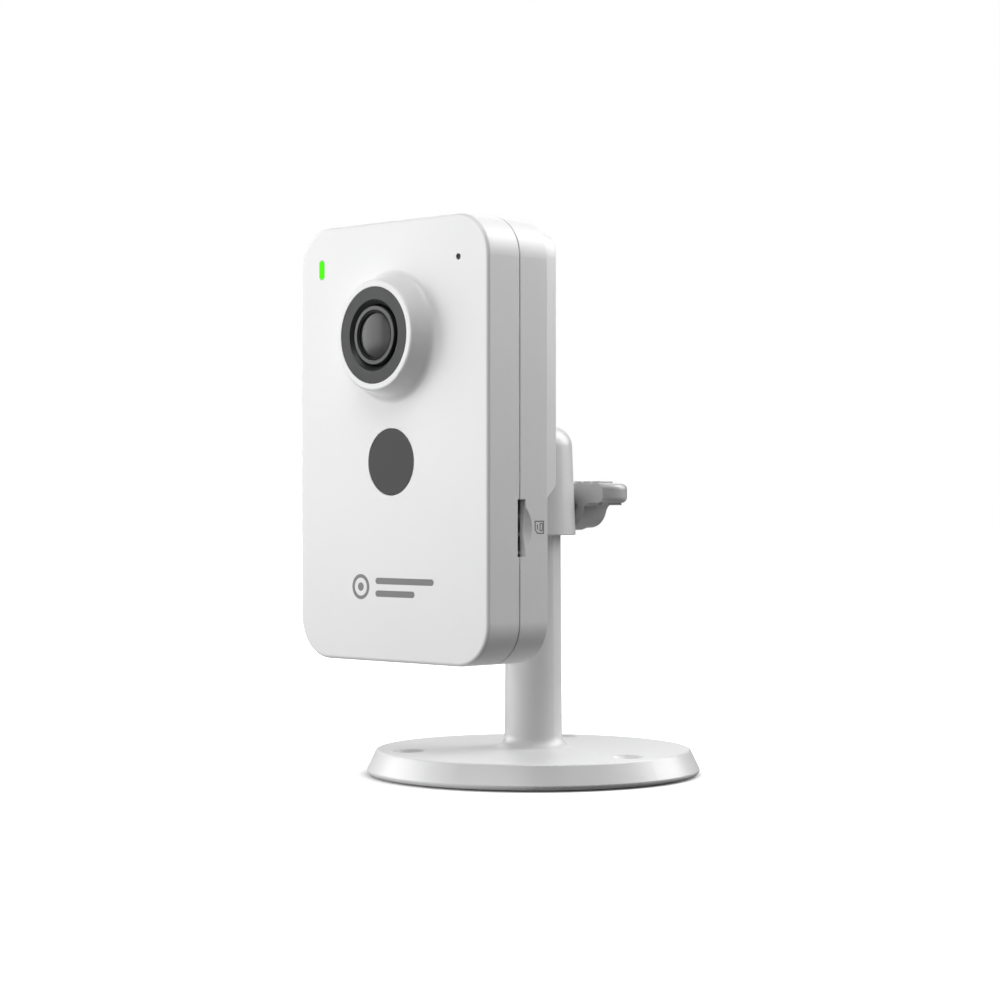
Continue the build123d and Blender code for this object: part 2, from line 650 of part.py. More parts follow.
def make_clamp_bolt():
    """Hexagon bolt that carries the knob and pushes the brake pad."""
    neck = BRAKE_END_Y + BOLT_R - BOLT_TIP_R
    tip = cone_y(BOLT_TIP_R, BOLT_R, BRAKE_END_Y, neck, 0, CLAMP_Z)
    shank = rod_y(BOLT_R, neck, KNOB_Y, 0, CLAMP_Z)
    head = hexagon_y(BOLT_HEAD_FLATS, KNOB_Y, KNOB_Y + BOLT_HEAD_HEIGHT, 0, CLAMP_Z)
    return joined([tip, shank, head])


def wing_section(side):
    """One wing's section, over the hub's middle on one side and under it on the other."""
    top = side * KNOB_HUB_R
    bottom = side * (KNOB_HUB_R - WING_THICKNESS)
    return outline((0, top), (side * WING_REACH, top), (side * WING_REACH, bottom), (0, bottom))


def knob_section():
    """The knob seen along its axis: a hub and two wings, with a hollow curve under each wing."""
    section = joined([Circle(KNOB_HUB_R), wing_section(1), wing_section(-1)])
    wing_bottom = KNOB_HUB_R - WING_THICKNESS
    joint = math.hypot(math.sqrt(KNOB_HUB_R**2 - wing_bottom**2), wing_bottom)
    near_wing = WING_THICKNESS / 2
    armpits = [
        vertex
        for vertex in section.vertices()
        if math.isclose(math.hypot(vertex.X, vertex.Y), joint, abs_tol=SCREW_FIT)
        and abs(vertex.Y) < near_wing
    ]
    return fillet(armpits, WING_FILLET)


def knob_plan():
    """The knob seen from above: straight faces with bowed tips."""
    middle = (KNOB_Y + KNOB_END_Y) / 2
    right = ThreePointArc((WING_CORNER, KNOB_Y), (WING_REACH, middle), (WING_CORNER, KNOB_END_Y))
    left = ThreePointArc((-WING_CORNER, KNOB_END_Y), (-WING_REACH, middle), (-WING_CORNER, KNOB_Y))
    return make_face([right, Line(right @ 1, left @ 0), left, Line(left @ 1, right @ 0)])


def grip_bars():
    """Raised bars on both faces of both wings."""
    middle = (KNOB_Y + KNOB_END_Y) / 2
    outer = (KNOB_HUB_R, KNOB_HUB_R + GRIP_HEIGHT, GRIP_COUNT, GRIP_INSET)
    wing_bottom = KNOB_HUB_R - WING_THICKNESS
    inner = (wing_bottom - GRIP_HEIGHT, wing_bottom, GRIP_COUNT - 1, 0)
    bars = []
    for side in (1, -1):
        for low, high, count, inset in (outer, inner):
            depth = side * (low + high) / 2
            for index in range(count):
                x = side * (WING_CORNER - inset - GRIP_WIDTH / 2 - index * GRIP_PITCH)
                bar = Box(GRIP_WIDTH, GRIP_LENGTH, high - low + 2 * SEAT_GAP)
                bars.append(Pos(x, middle, CLAMP_Z + depth) * bar)
    return bars


def make_clamp_knob():
    """Knob with two offset wings, pressed over the bolt's head."""
    back = Plane((0, KNOB_END_Y, CLAMP_Z), x_dir=(1, 0, 0), z_dir=(0, -1, 0))
    body = extrude(back * knob_section(), KNOB_LENGTH)
    body = body & extrude(Pos(0, 0, CLAMP_Z - WING_REACH) * knob_plan(), 2 * WING_REACH)
    tip_edges = [edge for edge in body.edges() if abs(edge.center().X) > WING_CORNER]
    body = fillet([edge for edge in tip_edges if edge.geom_type == GeomType.CIRCLE], KNOB_EDGE)
    collar = rod_y(KNOB_COLLAR_R, KNOB_Y, KNOB_Y + KNOB_COLLAR_LENGTH, 0, CLAMP_Z)
    pocket = hexagon_y(BOLT_HEAD_FLATS, KNOB_Y, KNOB_Y + BOLT_HEAD_HEIGHT, 0, CLAMP_Z)
    return joined([body, collar, *grip_bars()]) - pocket


# ----------------------------------------------------------------- tilt hinge
def make_tilt_bracket():
    """Plate let into the head's back, with two ears that hold the lug."""
    plate = panel(
        BRACKET_WIDTH, BRACKET_HEIGHT, BRACKET_CORNER, REAR_Y - BRACKET_PLATE, REAR_Y, z=BRACKET_MIDDLE_Z
    )
    pieces = [plate]
    for side in (-1, 1):
        low = min(side * EAR_INNER_X, side * EAR_OUTER_X)
        high = max(side * EAR_INNER_X, side * EAR_OUTER_X)
        pieces.append(rod_x(LUG_R, low, high, PIVOT_Y, PIVOT_Z))
        web_low = (low, REAR_Y - BRACKET_PLATE, PIVOT_Z - LUG_R)
        pieces.append(block(web_low, (high, PIVOT_Y, PIVOT_Z + LUG_R)))
    cuts = [rod_x(TILT_SCREW_R + SCREW_FIT, -EAR_OUTER_X, EAR_OUTER_X, PIVOT_Y, PIVOT_Z)]
    for x, z in BRACKET_SCREW_PLACES:
        cuts.append(bracket_screw(x, z, SCREW_FIT))
    return without(joined(pieces), cuts)


def bracket_screw(x, z, gap):
    """Countersunk screw, or with a gap the hole that it needs."""
    sink = BRACKET_SCREW_HEAD_R - BRACKET_SCREW_R
    head = cone_y(BRACKET_SCREW_R + gap, BRACKET_SCREW_HEAD_R + gap, REAR_Y - sink, REAR_Y, x, z)
    shank = rod_y(BRACKET_SCREW_R + gap, REAR_Y - BRACKET_SCREW_LENGTH - gap, REAR_Y - sink, x, z)
    return head + shank


def make_bracket_screws():
    """Four countersunk screws of the tilt bracket, with a cross in each head."""
    slot = BRACKET_SCREW_R / 2
    screws = []
    for x, z in BRACKET_SCREW_PLACES:
        cut = chip((2 * BRACKET_SCREW_R, slot, slot), x, REAR_Y - slot, z)
        cross = chip((slot, slot, 2 * BRACKET_SCREW_R), x, REAR_Y - slot, z)
        screws.append(without(bracket_screw(x, z, 0), [cut, cross]))
    return group(screws)


def make_tilt_screw():
    """Screw through the ears and the lug."""
    nut_end = -EAR_OUTER_X - TILT_NUT_HEIGHT - TILT_SCREW_SPARE
    shank = rod_x(TILT_SCREW_R, nut_end, EAR_OUTER_X, PIVOT_Y, PIVOT_Z)
    head = rod_x(TILT_HEAD_R, EAR_OUTER_X, EAR_OUTER_X + TILT_HEAD_HEIGHT, PIVOT_Y, PIVOT_Z)
    head = fillet(head.edges().sort_by(Axis.X)[-1], TILT_HEAD_HEIGHT / 2)
    slot_width = TILT_SCREW_R / 2
    end = EAR_OUTER_X + TILT_HEAD_HEIGHT
    slot_low = (end - slot_width, PIVOT_Y - TILT_HEAD_R, PIVOT_Z - slot_width / 2)
    slot = block(slot_low, (end, PIVOT_Y + TILT_HEAD_R, PIVOT_Z + slot_width / 2))
    return joined([shank, head]) - slot


def make_tilt_nut():
    """Nut at the other end of the tilt screw."""
    end = -EAR_OUTER_X
    nut = hexagon_x(TILT_NUT_FLATS, end - TILT_NUT_HEIGHT, end, PIVOT_Y, PIVOT_Z)
    return nut - rod_x(TILT_SCREW_R + SCREW_FIT, end - TILT_NUT_HEIGHT, end, PIVOT_Y, PIVOT_Z)


def make_tilt_washers():
    """Two friction washers beside the lug."""
    washers = []
    for start in (-EAR_INNER_X, LUG_WIDTH / 2):
        end = start + TILT_WASHER_THICKNESS
        disc = rod_x(TILT_WASHER_R, start, end, PIVOT_Y, PIVOT_Z)
        washers.append(disc - rod_x(TILT_SCREW_R + SCREW_FIT, start, end, PIVOT_Y, PIVOT_Z))
    return group(washers)


# ------------------------------------------------------------------ head shell
def head_panel(inset, start, end):
    """The head's outline, moved inwards by an inset, between two depths."""
    return panel(
        HEAD_WIDTH - 2 * inset,
        HEAD_HEIGHT - 2 * inset,
        HEAD_CORNER - inset,
        start,
        end,
        z=HEAD_MIDDLE_Z,
    )


def slot_cut(start, end):
    """The card slot's opening between two depths."""
    low = (BOARD_HALF_WIDTH, start, SLOT_BOTTOM_Z)
    return block(low, (HALF_WIDTH + HEAD_WALL, end, SLOT_BOTTOM_Z + SLOT_LENGTH))


def make_front_cover():
    """Front half of the case, with the raised rim round the lens."""
    shell = head_panel(0, FRONT_Y, FRONT_COVER_Y)
    shell = fillet(shell.faces().sort_by(Axis.Y)[0].edges(), FRONT_EDGE)
    shell = shell - head_panel(HEAD_WALL, FRONT_WALL_Y, FRONT_COVER_Y)
    rim = turned_y(
        0,
        LENS_Z,
        (0, FRONT_WALL_Y),
        (RIM_BASE_R + 2 * RIM_FLARE, FRONT_WALL_Y),
        (RIM_BASE_R + 2 * RIM_FLARE, FRONT_Y),
        (RIM_BASE_R, FRONT_Y, RIM_FLARE),
        (RIM_R, RIM_Y, RIM_ROUND),
        (0, RIM_Y),
    )
    pieces = [shell, rim]
    for x, z in CASE_SCREW_PLACES:
        pieces.append(rod_y(CASE_BOSS_R, FRONT_WALL_Y, case_joint_y(), x, z))
    for x, z in BOARD_SCREW_PLACES:
        pieces.append(rod_y(SMALL_BOSS_R, FRONT_WALL_Y, BOARD_Y, x, z))
    for x, z in WINDOW_POST_PLACES:
        pieces.append(rod_y(SMALL_BOSS_R, FRONT_WALL_Y, WINDOW_BOARD_Y, x, z))
    cuts = [
        rod_y(RIM_SEAT_R, RIM_Y, RIM_SEAT_Y, 0, LENS_Z),
        rod_y(LENS_PASSAGE_R, RIM_SEAT_Y, FRONT_WALL_Y, 0, LENS_Z),
        rod_y(WINDOW_R + WINDOW_GAP, FRONT_Y, FRONT_WALL_Y, 0, WINDOW_Z),
        rod_y(WINDOW_FLANGE_R + SEAT_GAP, FRONT_WALL_Y, WINDOW_BACK_Y, 0, WINDOW_Z),
        rod_y(MICROPHONE_HOLE_R, FRONT_Y, FRONT_WALL_Y, MICROPHONE_X, MICROPHONE_Z),
        light_hole(),
        slot_cut(SLOT_FRONT_Y, FRONT_COVER_Y),
    ]
    for x, z in CASE_SCREW_PLACES:
        cuts.append(rod_y(CASE_SCREW_R + SCREW_FIT, case_joint_y() - CASE_SCREW_BITE, case_joint_y(), x, z))
    for x, z in BOARD_SCREW_PLACES:
        cuts.append(rod_y(SMALL_SCREW_R + SCREW_FIT, BOARD_Y - SMALL_SCREW_LENGTH, BOARD_Y, x, z))
    for x, z in WINDOW_POST_PLACES:
        cuts.append(rod_y(SMALL_SCREW_R + SCREW_FIT, FRONT_WALL_Y, WINDOW_BOARD_Y, x, z))
    return without(joined(pieces), cuts)


def light_hole():
    """The hole in the front wall for the status light."""
    width = LIGHT_WIDTH + WINDOW_GAP
    height = LIGHT_HEIGHT + WINDOW_GAP
    return capsule_y(width, height, FRONT_Y, FRONT_WALL_Y, LIGHT_X, LIGHT_Z)


def case_joint_y():
    """Where a front boss meets a rear screw tube."""
    return BOARD_BACK_Y + HEAD_WALL - CASE_JOINT_GAP


def bump_outline_depth(z):
    """The rear face's depth at a height: low under the bump and high on it."""
    return REAR_Y if z > HEAD_BOTTOM_Z + BUMP_BOTTOM + BUMP_SLOPE else LOW_REAR_Y


def make_bump():
    """Raised part of the back, which slopes down to the lower part."""
    half = HALF_WIDTH - BUMP_INSET
    top = HEAD_TOP_Z - BUMP_INSET
    bottom = HEAD_BOTTOM_Z + BUMP_BOTTOM - 2 * BUMP_CORNER
    middle = (top + bottom) / 2
    raised = panel(2 * half, top - bottom, BUMP_CORNER, LOW_REAR_Y, REAR_Y, z=middle, draft=BUMP_DRAFT)
    raised = fillet(raised.faces().sort_by(Axis.Y)[-1].edges(), BUMP_EDGE)
    foot = HEAD_BOTTOM_Z + BUMP_BOTTOM
    keep = outline(
        (LOW_REAR_Y - HEAD_WALL / 2, HEAD_TOP_Z),
        (LOW_REAR_Y - HEAD_WALL / 2, foot - BUMP_SLOPE / 2),
        (LOW_REAR_Y, foot),
        (REAR_Y, foot + BUMP_SLOPE, BUMP_SLOPE_R),
        (REAR_Y, HEAD_TOP_Z),
    )
    wedge = extrude(Plane((-HALF_WIDTH, 0, 0), x_dir=(0, 1, 0), z_dir=(1, 0, 0)) * keep, HEAD_WIDTH)
    return raised & wedge


def make_rear_cover():
    """Rear half of the case, with a tongue that fits inside the front cover."""
    slab = head_panel(0, REAR_COVER_Y, LOW_REAR_Y)
    slab = fillet(slab.faces().sort_by(Axis.Y)[-1].edges(), REAR_EDGE)
    shell = slab + make_bump()
    shell = shell - head_panel(HEAD_WALL, REAR_COVER_Y, LOW_REAR_WALL_Y)
    bump_half = HALF_WIDTH - BUMP_INSET - HEAD_WALL - BUMP_DEPTH * math.tan(math.radians(BUMP_DRAFT))
    bump_high = HEAD_TOP_Z - (HALF_WIDTH - bump_half)
    shell = shell - panel(
        2 * bump_half,
        bump_high - BUMP_HOLLOW_Z,
        BUMP_CORNER - HEAD_WALL - BUMP_EDGE,
        LOW_REAR_WALL_Y,
        REAR_WALL_Y,
        z=(BUMP_HOLLOW_Z + bump_high) / 2,
    )
    outer_inset = HEAD_WALL + TONGUE_GAP
    inner_inset = outer_inset + TONGUE_WALL
    tongue = head_panel(outer_inset, REAR_COVER_Y - TONGUE_LENGTH, REAR_COVER_Y)
    root = head_panel(HEAD_WALL / 2, REAR_COVER_Y, REAR_COVER_Y + TONGUE_ROOT)
    inside = head_panel(inner_inset, REAR_COVER_Y - TONGUE_LENGTH, REAR_COVER_Y + TONGUE_ROOT)
    pieces = [shell, (tongue + root) - inside]
    for x, z in CASE_SCREW_PLACES:
        wall = bump_outline_depth(z) - HEAD_WALL / 2
        pieces.append(rod_y(CASE_TUBE_R, case_joint_y() + CASE_JOINT_GAP, wall, x, z))
    plate_depth = REAR_Y - BRACKET_PLATE
    pieces.append(
        panel(
            BRACKET_WIDTH + 2 * HEAD_WALL,
            BRACKET_HEIGHT + 2 * HEAD_WALL,
            BRACKET_CORNER,
            plate_depth - BRACKET_SCREW_LENGTH + BRACKET_PLATE - HEAD_WALL / 2,
            plate_depth,
            z=BRACKET_MIDDLE_Z,
        )
    )
    return without(joined(pieces), rear_cover_cuts())


def rear_cover_cuts():
    """Holes and recesses of the rear cover."""
    cuts = [
        slot_cut(SLOT_FRONT_Y, SLOT_REAR_Y),
        scoop(),
        panel(
            BRACKET_WIDTH + 2 * SEAT_GAP,
            BRACKET_HEIGHT + 2 * SEAT_GAP,
            BRACKET_CORNER + SEAT_GAP,
            REAR_Y - BRACKET_PLATE,
            REAR_Y,
            z=BRACKET_MIDDLE_Z,
        ),
        panel(
            POWER_SHELL[0] + 2 * SEAT_GAP,
            POWER_SHELL[1] + 2 * SEAT_GAP,
            POWER_SHELL[1] / 4,
            LOW_REAR_WALL_Y,
            LOW_REAR_Y,
            x=POWER_X,
            z=POWER_Z,
        ),
        panel(*POWER_RECESS, HEAD_WALL, LOW_REAR_Y - POWER_RECESS_DEPTH, LOW_REAR_Y, x=POWER_X, z=POWER_Z),
        rod_y(RESET_R + SLIDE_GAP, LOW_REAR_WALL_Y, LOW_REAR_Y, RESET_X, RESET_Z),
        panel(
            LABEL_SIZE[0] + 2 * SEAT_GAP,
            LABEL_SIZE[2] + 2 * SEAT_GAP,
            LABEL_CORNER + SEAT_GAP,
            REAR_Y - LABEL_SUNK,
            REAR_Y,
            z=PIVOT_Z + LABEL_RISE,
        ),
    ]
    for x, z in CASE_SCREW_PLACES:
        face = bump_outline_depth(z)
        shoulder = face - CASE_SCREW_SUNK - CASE_SCREW_HEAD
        cuts.append(rod_y(CASE_SCREW_R + SEAT_GAP, case_joint_y(), face, x, z))
        cuts.append(rod_y(CASE_SCREW_HEAD_R + SEAT_GAP, shoulder, face, x, z))
    for x, z in BRACKET_SCREW_PLACES:
        cuts.append(bracket_screw(x, z, SCREW_FIT))
    for count, reach in GRILLE_RINGS:
        for index in range(count):
            turn = math.tau * index / count
            x = SPEAKER_X + reach * math.cos(turn)
            z = SPEAKER_Z + reach * math.sin(turn)
            cuts.append(rod_y(GRILLE_HOLE_R, LOW_REAR_WALL_Y, LOW_REAR_Y, x, z))
    return cuts


def scoop():
    """Shallow dish beside the card slot that a fingertip fits in."""
    half = SCOOP_LENGTH / 2
    offset = (half**2 - SCOOP_REACH**2) / (2 * SCOOP_REACH)
    rim = offset + SCOOP_REACH
    stand_off = (half**2 - SCOOP_DEPTH**2) / (2 * SCOOP_DEPTH)
    radius = math.hypot(stand_off, rim)
    return Pos(HALF_WIDTH + stand_off, SLOT_REAR_Y - offset, SLOT_MIDDLE_Z) * Sphere(radius)


def make_slot_ribs():
    """Thin ribs behind the slot that stop a card from going in behind its socket."""
    inner = HALF_WIDTH - HEAD_WALL
    ribs = []
    for index in range(SLOT_RIB_COUNT):
        low = SLOT_BOTTOM_Z + SLOT_RIB_START - SLOT_RIB / 2 + index * SLOT_RIB_PITCH
        high = (inner, SLOT_REAR_Y + SLOT_RIB_DEPTH, low + SLOT_RIB)
        ribs.append(block((inner - SLOT_RIB_REACH, SLOT_REAR_Y, low), high))
    return ribs


def make_case_screws():
    """Four screws that hold the two covers together."""
    screws = []
    for x, z in CASE_SCREW_PLACES:
        top = bump_outline_depth(z) - CASE_SCREW_SUNK
        under = top - CASE_SCREW_HEAD
        end = case_joint_y() - CASE_SCREW_BITE + HEAD_WALL
        head = rod_y(CASE_SCREW_HEAD_R, under, top, x, z)
        screw = head + rod_y(CASE_SCREW_R, end, under, x, z)
        screws.append(screw - hexagon_y(CASE_SCREW_HEAD_R, top - CASE_SCREW_HEAD / 2, top, x, z))
    return group(screws)


# ------------------------------------------------------------ lens and its rim
def make_lens_trim_ring():
    """Dark flat ring in the rim, bevelled inwards to the lens."""
    return turned_y(
        0,
        LENS_Z,
        (RIM_SEAT_R - RIM_SEAT_GAP, RIM_Y + TRIM_RECESS),
        (RIM_SEAT_R - RIM_SEAT_GAP, RIM_SEAT_Y),
        (TRIM_BEVEL_R, RIM_SEAT_Y),
        (TRIM_BEVEL_R, RIM_Y + TRIM_RECESS + TRIM_BEVEL_DEPTH),
        (TRIM_INNER_R, RIM_Y + TRIM_RECESS),
    )


def make_lens_barrel():
    """Stepped tube that holds the glass."""
    step = BARREL_MOUTH_R - RETAINER_INNER_R
    return turned_y(
        0,
        LENS_Z,
        (BARREL_MOUTH_R, BARREL_Y),
        (BARREL_HEAD_R, BARREL_Y, step / 3),
        (BARREL_HEAD_R, BARREL_Y + BARREL_HEAD_LENGTH),
        (BARREL_R, BARREL_Y + BARREL_HEAD_LENGTH),
        (BARREL_R, BARREL_END_Y),
        (REAR_GLASS_R - step, BARREL_END_Y),
        (REAR_GLASS_R - step, REAR_GLASS_Y + REAR_GLASS_THICKNESS),
        (REAR_GLASS_R + GLASS_GAP, REAR_GLASS_Y + REAR_GLASS_THICKNESS),
        (REAR_GLASS_R + GLASS_GAP, MIDDLE_GLASS_Y + MIDDLE_GLASS_THICKNESS),
        (MIDDLE_GLASS_R + GLASS_GAP, MIDDLE_GLASS_Y + MIDDLE_GLASS_THICKNESS),
        (MIDDLE_GLASS_R + GLASS_GAP, FRONT_GLASS_Y + FRONT_GLASS_THICKNESS),
        (FRONT_GLASS_R + GLASS_GAP, FRONT_GLASS_Y + FRONT_GLASS_THICKNESS),
        (FRONT_GLASS_R + GLASS_GAP, FRONT_GLASS_Y),
        (BARREL_MOUTH_R, FRONT_GLASS_Y),
    )


def make_lens_retaining_ring():
    """Black ring that is screwed down round the front glass."""
    outer = BARREL_MOUTH_R - SCREW_FIT
    ring = rod_y(outer, RETAINER_Y, FRONT_GLASS_Y, 0, LENS_Z)
    return ring - rod_y(RETAINER_INNER_R + GLASS_GAP, RETAINER_Y, FRONT_GLASS_Y, 0, LENS_Z)


def bowed_cap(radius, bow, base):
    """The part of a sphere that stands on a circle and bows from base along Y."""
    curve = (radius**2 + bow**2) / (2 * abs(bow))
    towards = math.copysign(1, bow)
    ball = Pos(0, base + bow - towards * curve, LENS_Z) * Sphere(curve)
    low, high = sorted((base, base + bow))
    return ball & rod_y(radius, low, high, 0, LENS_Z)


def glass(radius, front, rear, front_cap, rear_cap):
    """A lens with a (radius, bow) cap in front that bows out, and one behind that bows out or in."""
    cap_radius, bow = front_cap
    body = rod_y(radius, front, rear, 0, LENS_Z) + bowed_cap(cap_radius, -bow, front)
    cap_radius, bow = rear_cap
    cap = bowed_cap(cap_radius, bow, rear)
    return body + cap if bow > 0 else body - cap


def make_front_lens_element():
    """Domed front glass, hollow behind."""
    rear = FRONT_GLASS_Y + FRONT_GLASS_THICKNESS
    front_cap = (FRONT_GLASS_R, FRONT_GLASS_BOW)
    rear_cap = (FRONT_GLASS_R, -FRONT_GLASS_BOW)
    return glass(FRONT_GLASS_R, FRONT_GLASS_Y, rear, front_cap, rear_cap)


def make_lens_spacers():
    """Thin rings that set the gaps between the glasses."""
    rings = []
    first = FRONT_GLASS_Y + FRONT_GLASS_THICKNESS
    second = MIDDLE_GLASS_Y + MIDDLE_GLASS_THICKNESS
    places = ((first, MIDDLE_GLASS_Y, MIDDLE_GLASS_R), (second, REAR_GLASS_Y, REAR_GLASS_R))
    for start, end, radius in places:
        ring = rod_y(radius, start, end, 0, LENS_Z)
        rings.append(ring - rod_y(radius - GLASS_EDGE + GLASS_GAP, start, end, 0, LENS_Z))
    return group(rings)


def make_middle_lens_element():
    """Second glass."""
    rear = MIDDLE_GLASS_Y + MIDDLE_GLASS_THICKNESS
    front_cap = (MIDDLE_GLASS_R - GLASS_EDGE, INNER_GLASS_BOW)
    rear_cap = (REAR_GLASS_R - GLASS_EDGE, INNER_GLASS_BOW)
    return glass(MIDDLE_GLASS_R, MIDDLE_GLASS_Y, rear, front_cap, rear_cap)


def make_rear_lens_element():
    """Third glass, nearest the sensor."""
    rear = REAR_GLASS_Y + REAR_GLASS_THICKNESS
    cap = (REAR_GLASS_R - GLASS_EDGE, INNER_GLASS_BOW)
    return glass(REAR_GLASS_R, REAR_GLASS_Y, rear, cap, cap)


# -------------------------------------------------- lens holder and day filter
def make_lens_holder():
    """Block on the board that holds the lens over the sensor and guides the day filter."""
    pieces = [
        chip((HOLDER_WIDTH, HOLDER_DEPTH, HOLDER_HEIGHT), 0, HOLDER_Y, LENS_Z),
        rod_y(HOLDER_TUBE_R, HOLDER_Y - HOLDER_TUBE_LENGTH, HOLDER_Y, 0, LENS_Z),
    ]
    for x, z in HOLDER_SCREW_PLACES:
        pieces.append(rod_y(HOLDER_EAR_R, BOARD_Y - HOLDER_EAR, BOARD_Y, x, z))
    wide = HOLDER_WIDTH + 2 * HEAD_WALL
    guide = FILTER_FRAME[1] + 2 * SLIDE_GAP
    cuts = [
        rod_y(BARREL_R + SCREW_FIT, HOLDER_Y - HOLDER_TUBE_LENGTH, FILTER_Y, 0, LENS_Z),
        chip((wide, guide, FILTER_FRAME[2] + 2 * SLIDE_GAP), 0, FILTER_Y - SLIDE_GAP, LENS_Z),
        chip((HOLDER_CAVITY[0], FILTER_BACK, HOLDER_CAVITY[1]), 0, BOARD_Y - FILTER_BACK, LENS_Z),
    ]
    for x, z in HOLDER_SCREW_PLACES:
        cuts.append(rod_y(SMALL_SCREW_R + SCREW_FIT, BOARD_Y - HOLDER_EAR, BOARD_Y, x, z))
    return without(joined(pieces), cuts)


def filter_places():
    """Middles of the two filter panes along X, day first."""
    return 0, -FILTER_PITCH


def make_ir_cut_frame():
    """Sliding frame that carries two panes."""
    width, depth, height = FILTER_FRAME
    frame = chip(FILTER_FRAME, -FILTER_PITCH / 2, FILTER_Y, LENS_Z)
    cuts = []
    for x in filter_places():
        view = FILTER_PANE - FILTER_PANE_SEAT
        cuts.append(chip((view, depth, view), x, FILTER_Y, LENS_Z))
        cuts.append(chip((FILTER_PANE, FILTER_PANE_THICKNESS, FILTER_PANE), x, FILTER_Y, LENS_Z))
    return without(frame, cuts)


def filter_pane(x):
    """One glass pane of the sliding frame."""
    gap = SCREW_FIT
    size = (FILTER_PANE - 2 * gap, FILTER_PANE_THICKNESS - gap, FILTER_PANE - 2 * gap)
    return chip(size, x, FILTER_Y, LENS_Z)


def make_ir_cut_filter():
    """Pane for daylight."""
    return filter_pane(filter_places()[0])


def make_clear_filter():
    """Clear pane for night."""
    return filter_pane(filter_places()[1])


def make_ir_cut_coil():
    """Small coil over the holder that moves the filter frame."""
    z = LENS_Z + (HOLDER_HEIGHT + COIL_SIZE) / 2 + SEAT_GAP
    y = BOARD_Y - COIL_SIZE / 2
    wound = rod_x(COIL_R, -COIL_LENGTH / 2, COIL_LENGTH / 2, y, z)
    cheek = (COIL_CHEEK, COIL_SIZE, COIL_SIZE)
    ends = [chip(cheek, side * COIL_LENGTH / 2, y - COIL_SIZE / 2, z) for side in (-1, 1)]
    return joined([wound, *ends])


def make_lens_holder_screws():
    """Two screws that hold the lens holder from behind the board."""
    length = BOARD_THICKNESS + HOLDER_EAR
    return group([small_screw(x, BOARD_BACK_Y, z, length) for x, z in HOLDER_SCREW_PLACES])


def small_screw(x, under_head, z, length):
    """Small pan-head screw that points to the front."""
    head = rod_y(SMALL_SCREW_HEAD_R, under_head, under_head + SMALL_SCREW_HEAD, x, z)
    return head + rod_y(SMALL_SCREW_R, under_head - length, under_head, x, z)


# ------------------------------------------------------- boards and their parts
def make_main_board():
    """Circuit board that fills the case."""
    board = panel(2 * BOARD_HALF_WIDTH, BOARD_HEIGHT, BOARD_CORNER, BOARD_Y, BOARD_BACK_Y, z=HEAD_MIDDLE_Z)
    cuts = [rod_y(CASE_BOSS_R + SEAT_GAP, BOARD_Y, BOARD_BACK_Y, x, z) for x, z in CASE_SCREW_PLACES]
    for x, z in BOARD_SCREW_PLACES + HOLDER_SCREW_PLACES:
        cuts.append(rod_y(SMALL_SCREW_R + SEAT_GAP, BOARD_Y, BOARD_BACK_Y, x, z))
    return without(board, cuts)


def make_board_screws():
    """Screws of the main board and of the board behind the window."""
    screws = [small_screw(x, BOARD_BACK_Y, z, SMALL_SCREW_LENGTH) for x, z in BOARD_SCREW_PLACES]
    back = WINDOW_BOARD_Y + WINDOW_BOARD_SIZE[1]
    bite = back - FRONT_WALL_Y - SEAT_GAP
    screws += [small_screw(x, back, z, bite) for x, z in WINDOW_POST_PLACES]
    return group(screws)


def make_image_sensor():
    """Sensor behind the lens."""
    return chip(SENSOR_SIZE, 0, BOARD_Y - SENSOR_SIZE[1], LENS_Z)


def make_processor():
    """Main chip on the back of the board."""
    return chip(PROCESSOR_SIZE, 0, BOARD_BACK_Y, PROCESSOR_Z)


def make_thermal_pad():
    """Soft pad that carries the chip's heat away."""
    return chip(THERMAL_PAD_SIZE, 0, BOARD_BACK_Y + PROCESSOR_SIZE[1], PROCESSOR_Z)


def make_heat_spreader():
    """Finned aluminium plate on the thermal pad."""
    width, depth, height = SPREADER_SIZE
    pieces = [chip(SPREADER_SIZE, 0, SPREADER_Y, PROCESSOR_Z)]
    pitch = (width - FIN_THICKNESS) / (FIN_COUNT - 1)
    for index in range(FIN_COUNT):
        x = -(width - FIN_THICKNESS) / 2 + index * pitch
        pieces.append(chip((FIN_THICKNESS, depth + FIN_HEIGHT, height), x, SPREADER_Y, PROCESSOR_Z))
    return joined(pieces)


def make_memory_chips():
    """Two memory chips on the front of the board."""
    start = LENS_Z - CHIP_DROP
    y = BOARD_Y - CHIP_SIZE[1]
    return group([chip(CHIP_SIZE, CHIP_X, y, start - index * CHIP_PITCH) for index in range(2)])


def make_radio_module():
    """Wireless module beside the lens holder."""
    return chip(RADIO_SIZE, RADIO_X, BOARD_Y - RADIO_SIZE[1], LENS_Z - RADIO_DROP)


def make_shield_can():
    """Thin metal lid over the power circuit, open towards the board."""
    width, depth, height = CAN_SIZE
    lid = chip(CAN_SIZE, CAN_X, BOARD_Y - depth, CAN_Z)
    inside = (width - 2 * CAN_WALL, depth - CAN_WALL, height - 2 * CAN_WALL)
    return lid - chip(inside, CAN_X, BOARD_Y - depth + CAN_WALL, CAN_Z)


def make_status_led():
    """Light source of the status light."""
    return chip(STATUS_LED_SIZE, LIGHT_X, BOARD_Y - STATUS_LED_SIZE[1], LIGHT_Z)


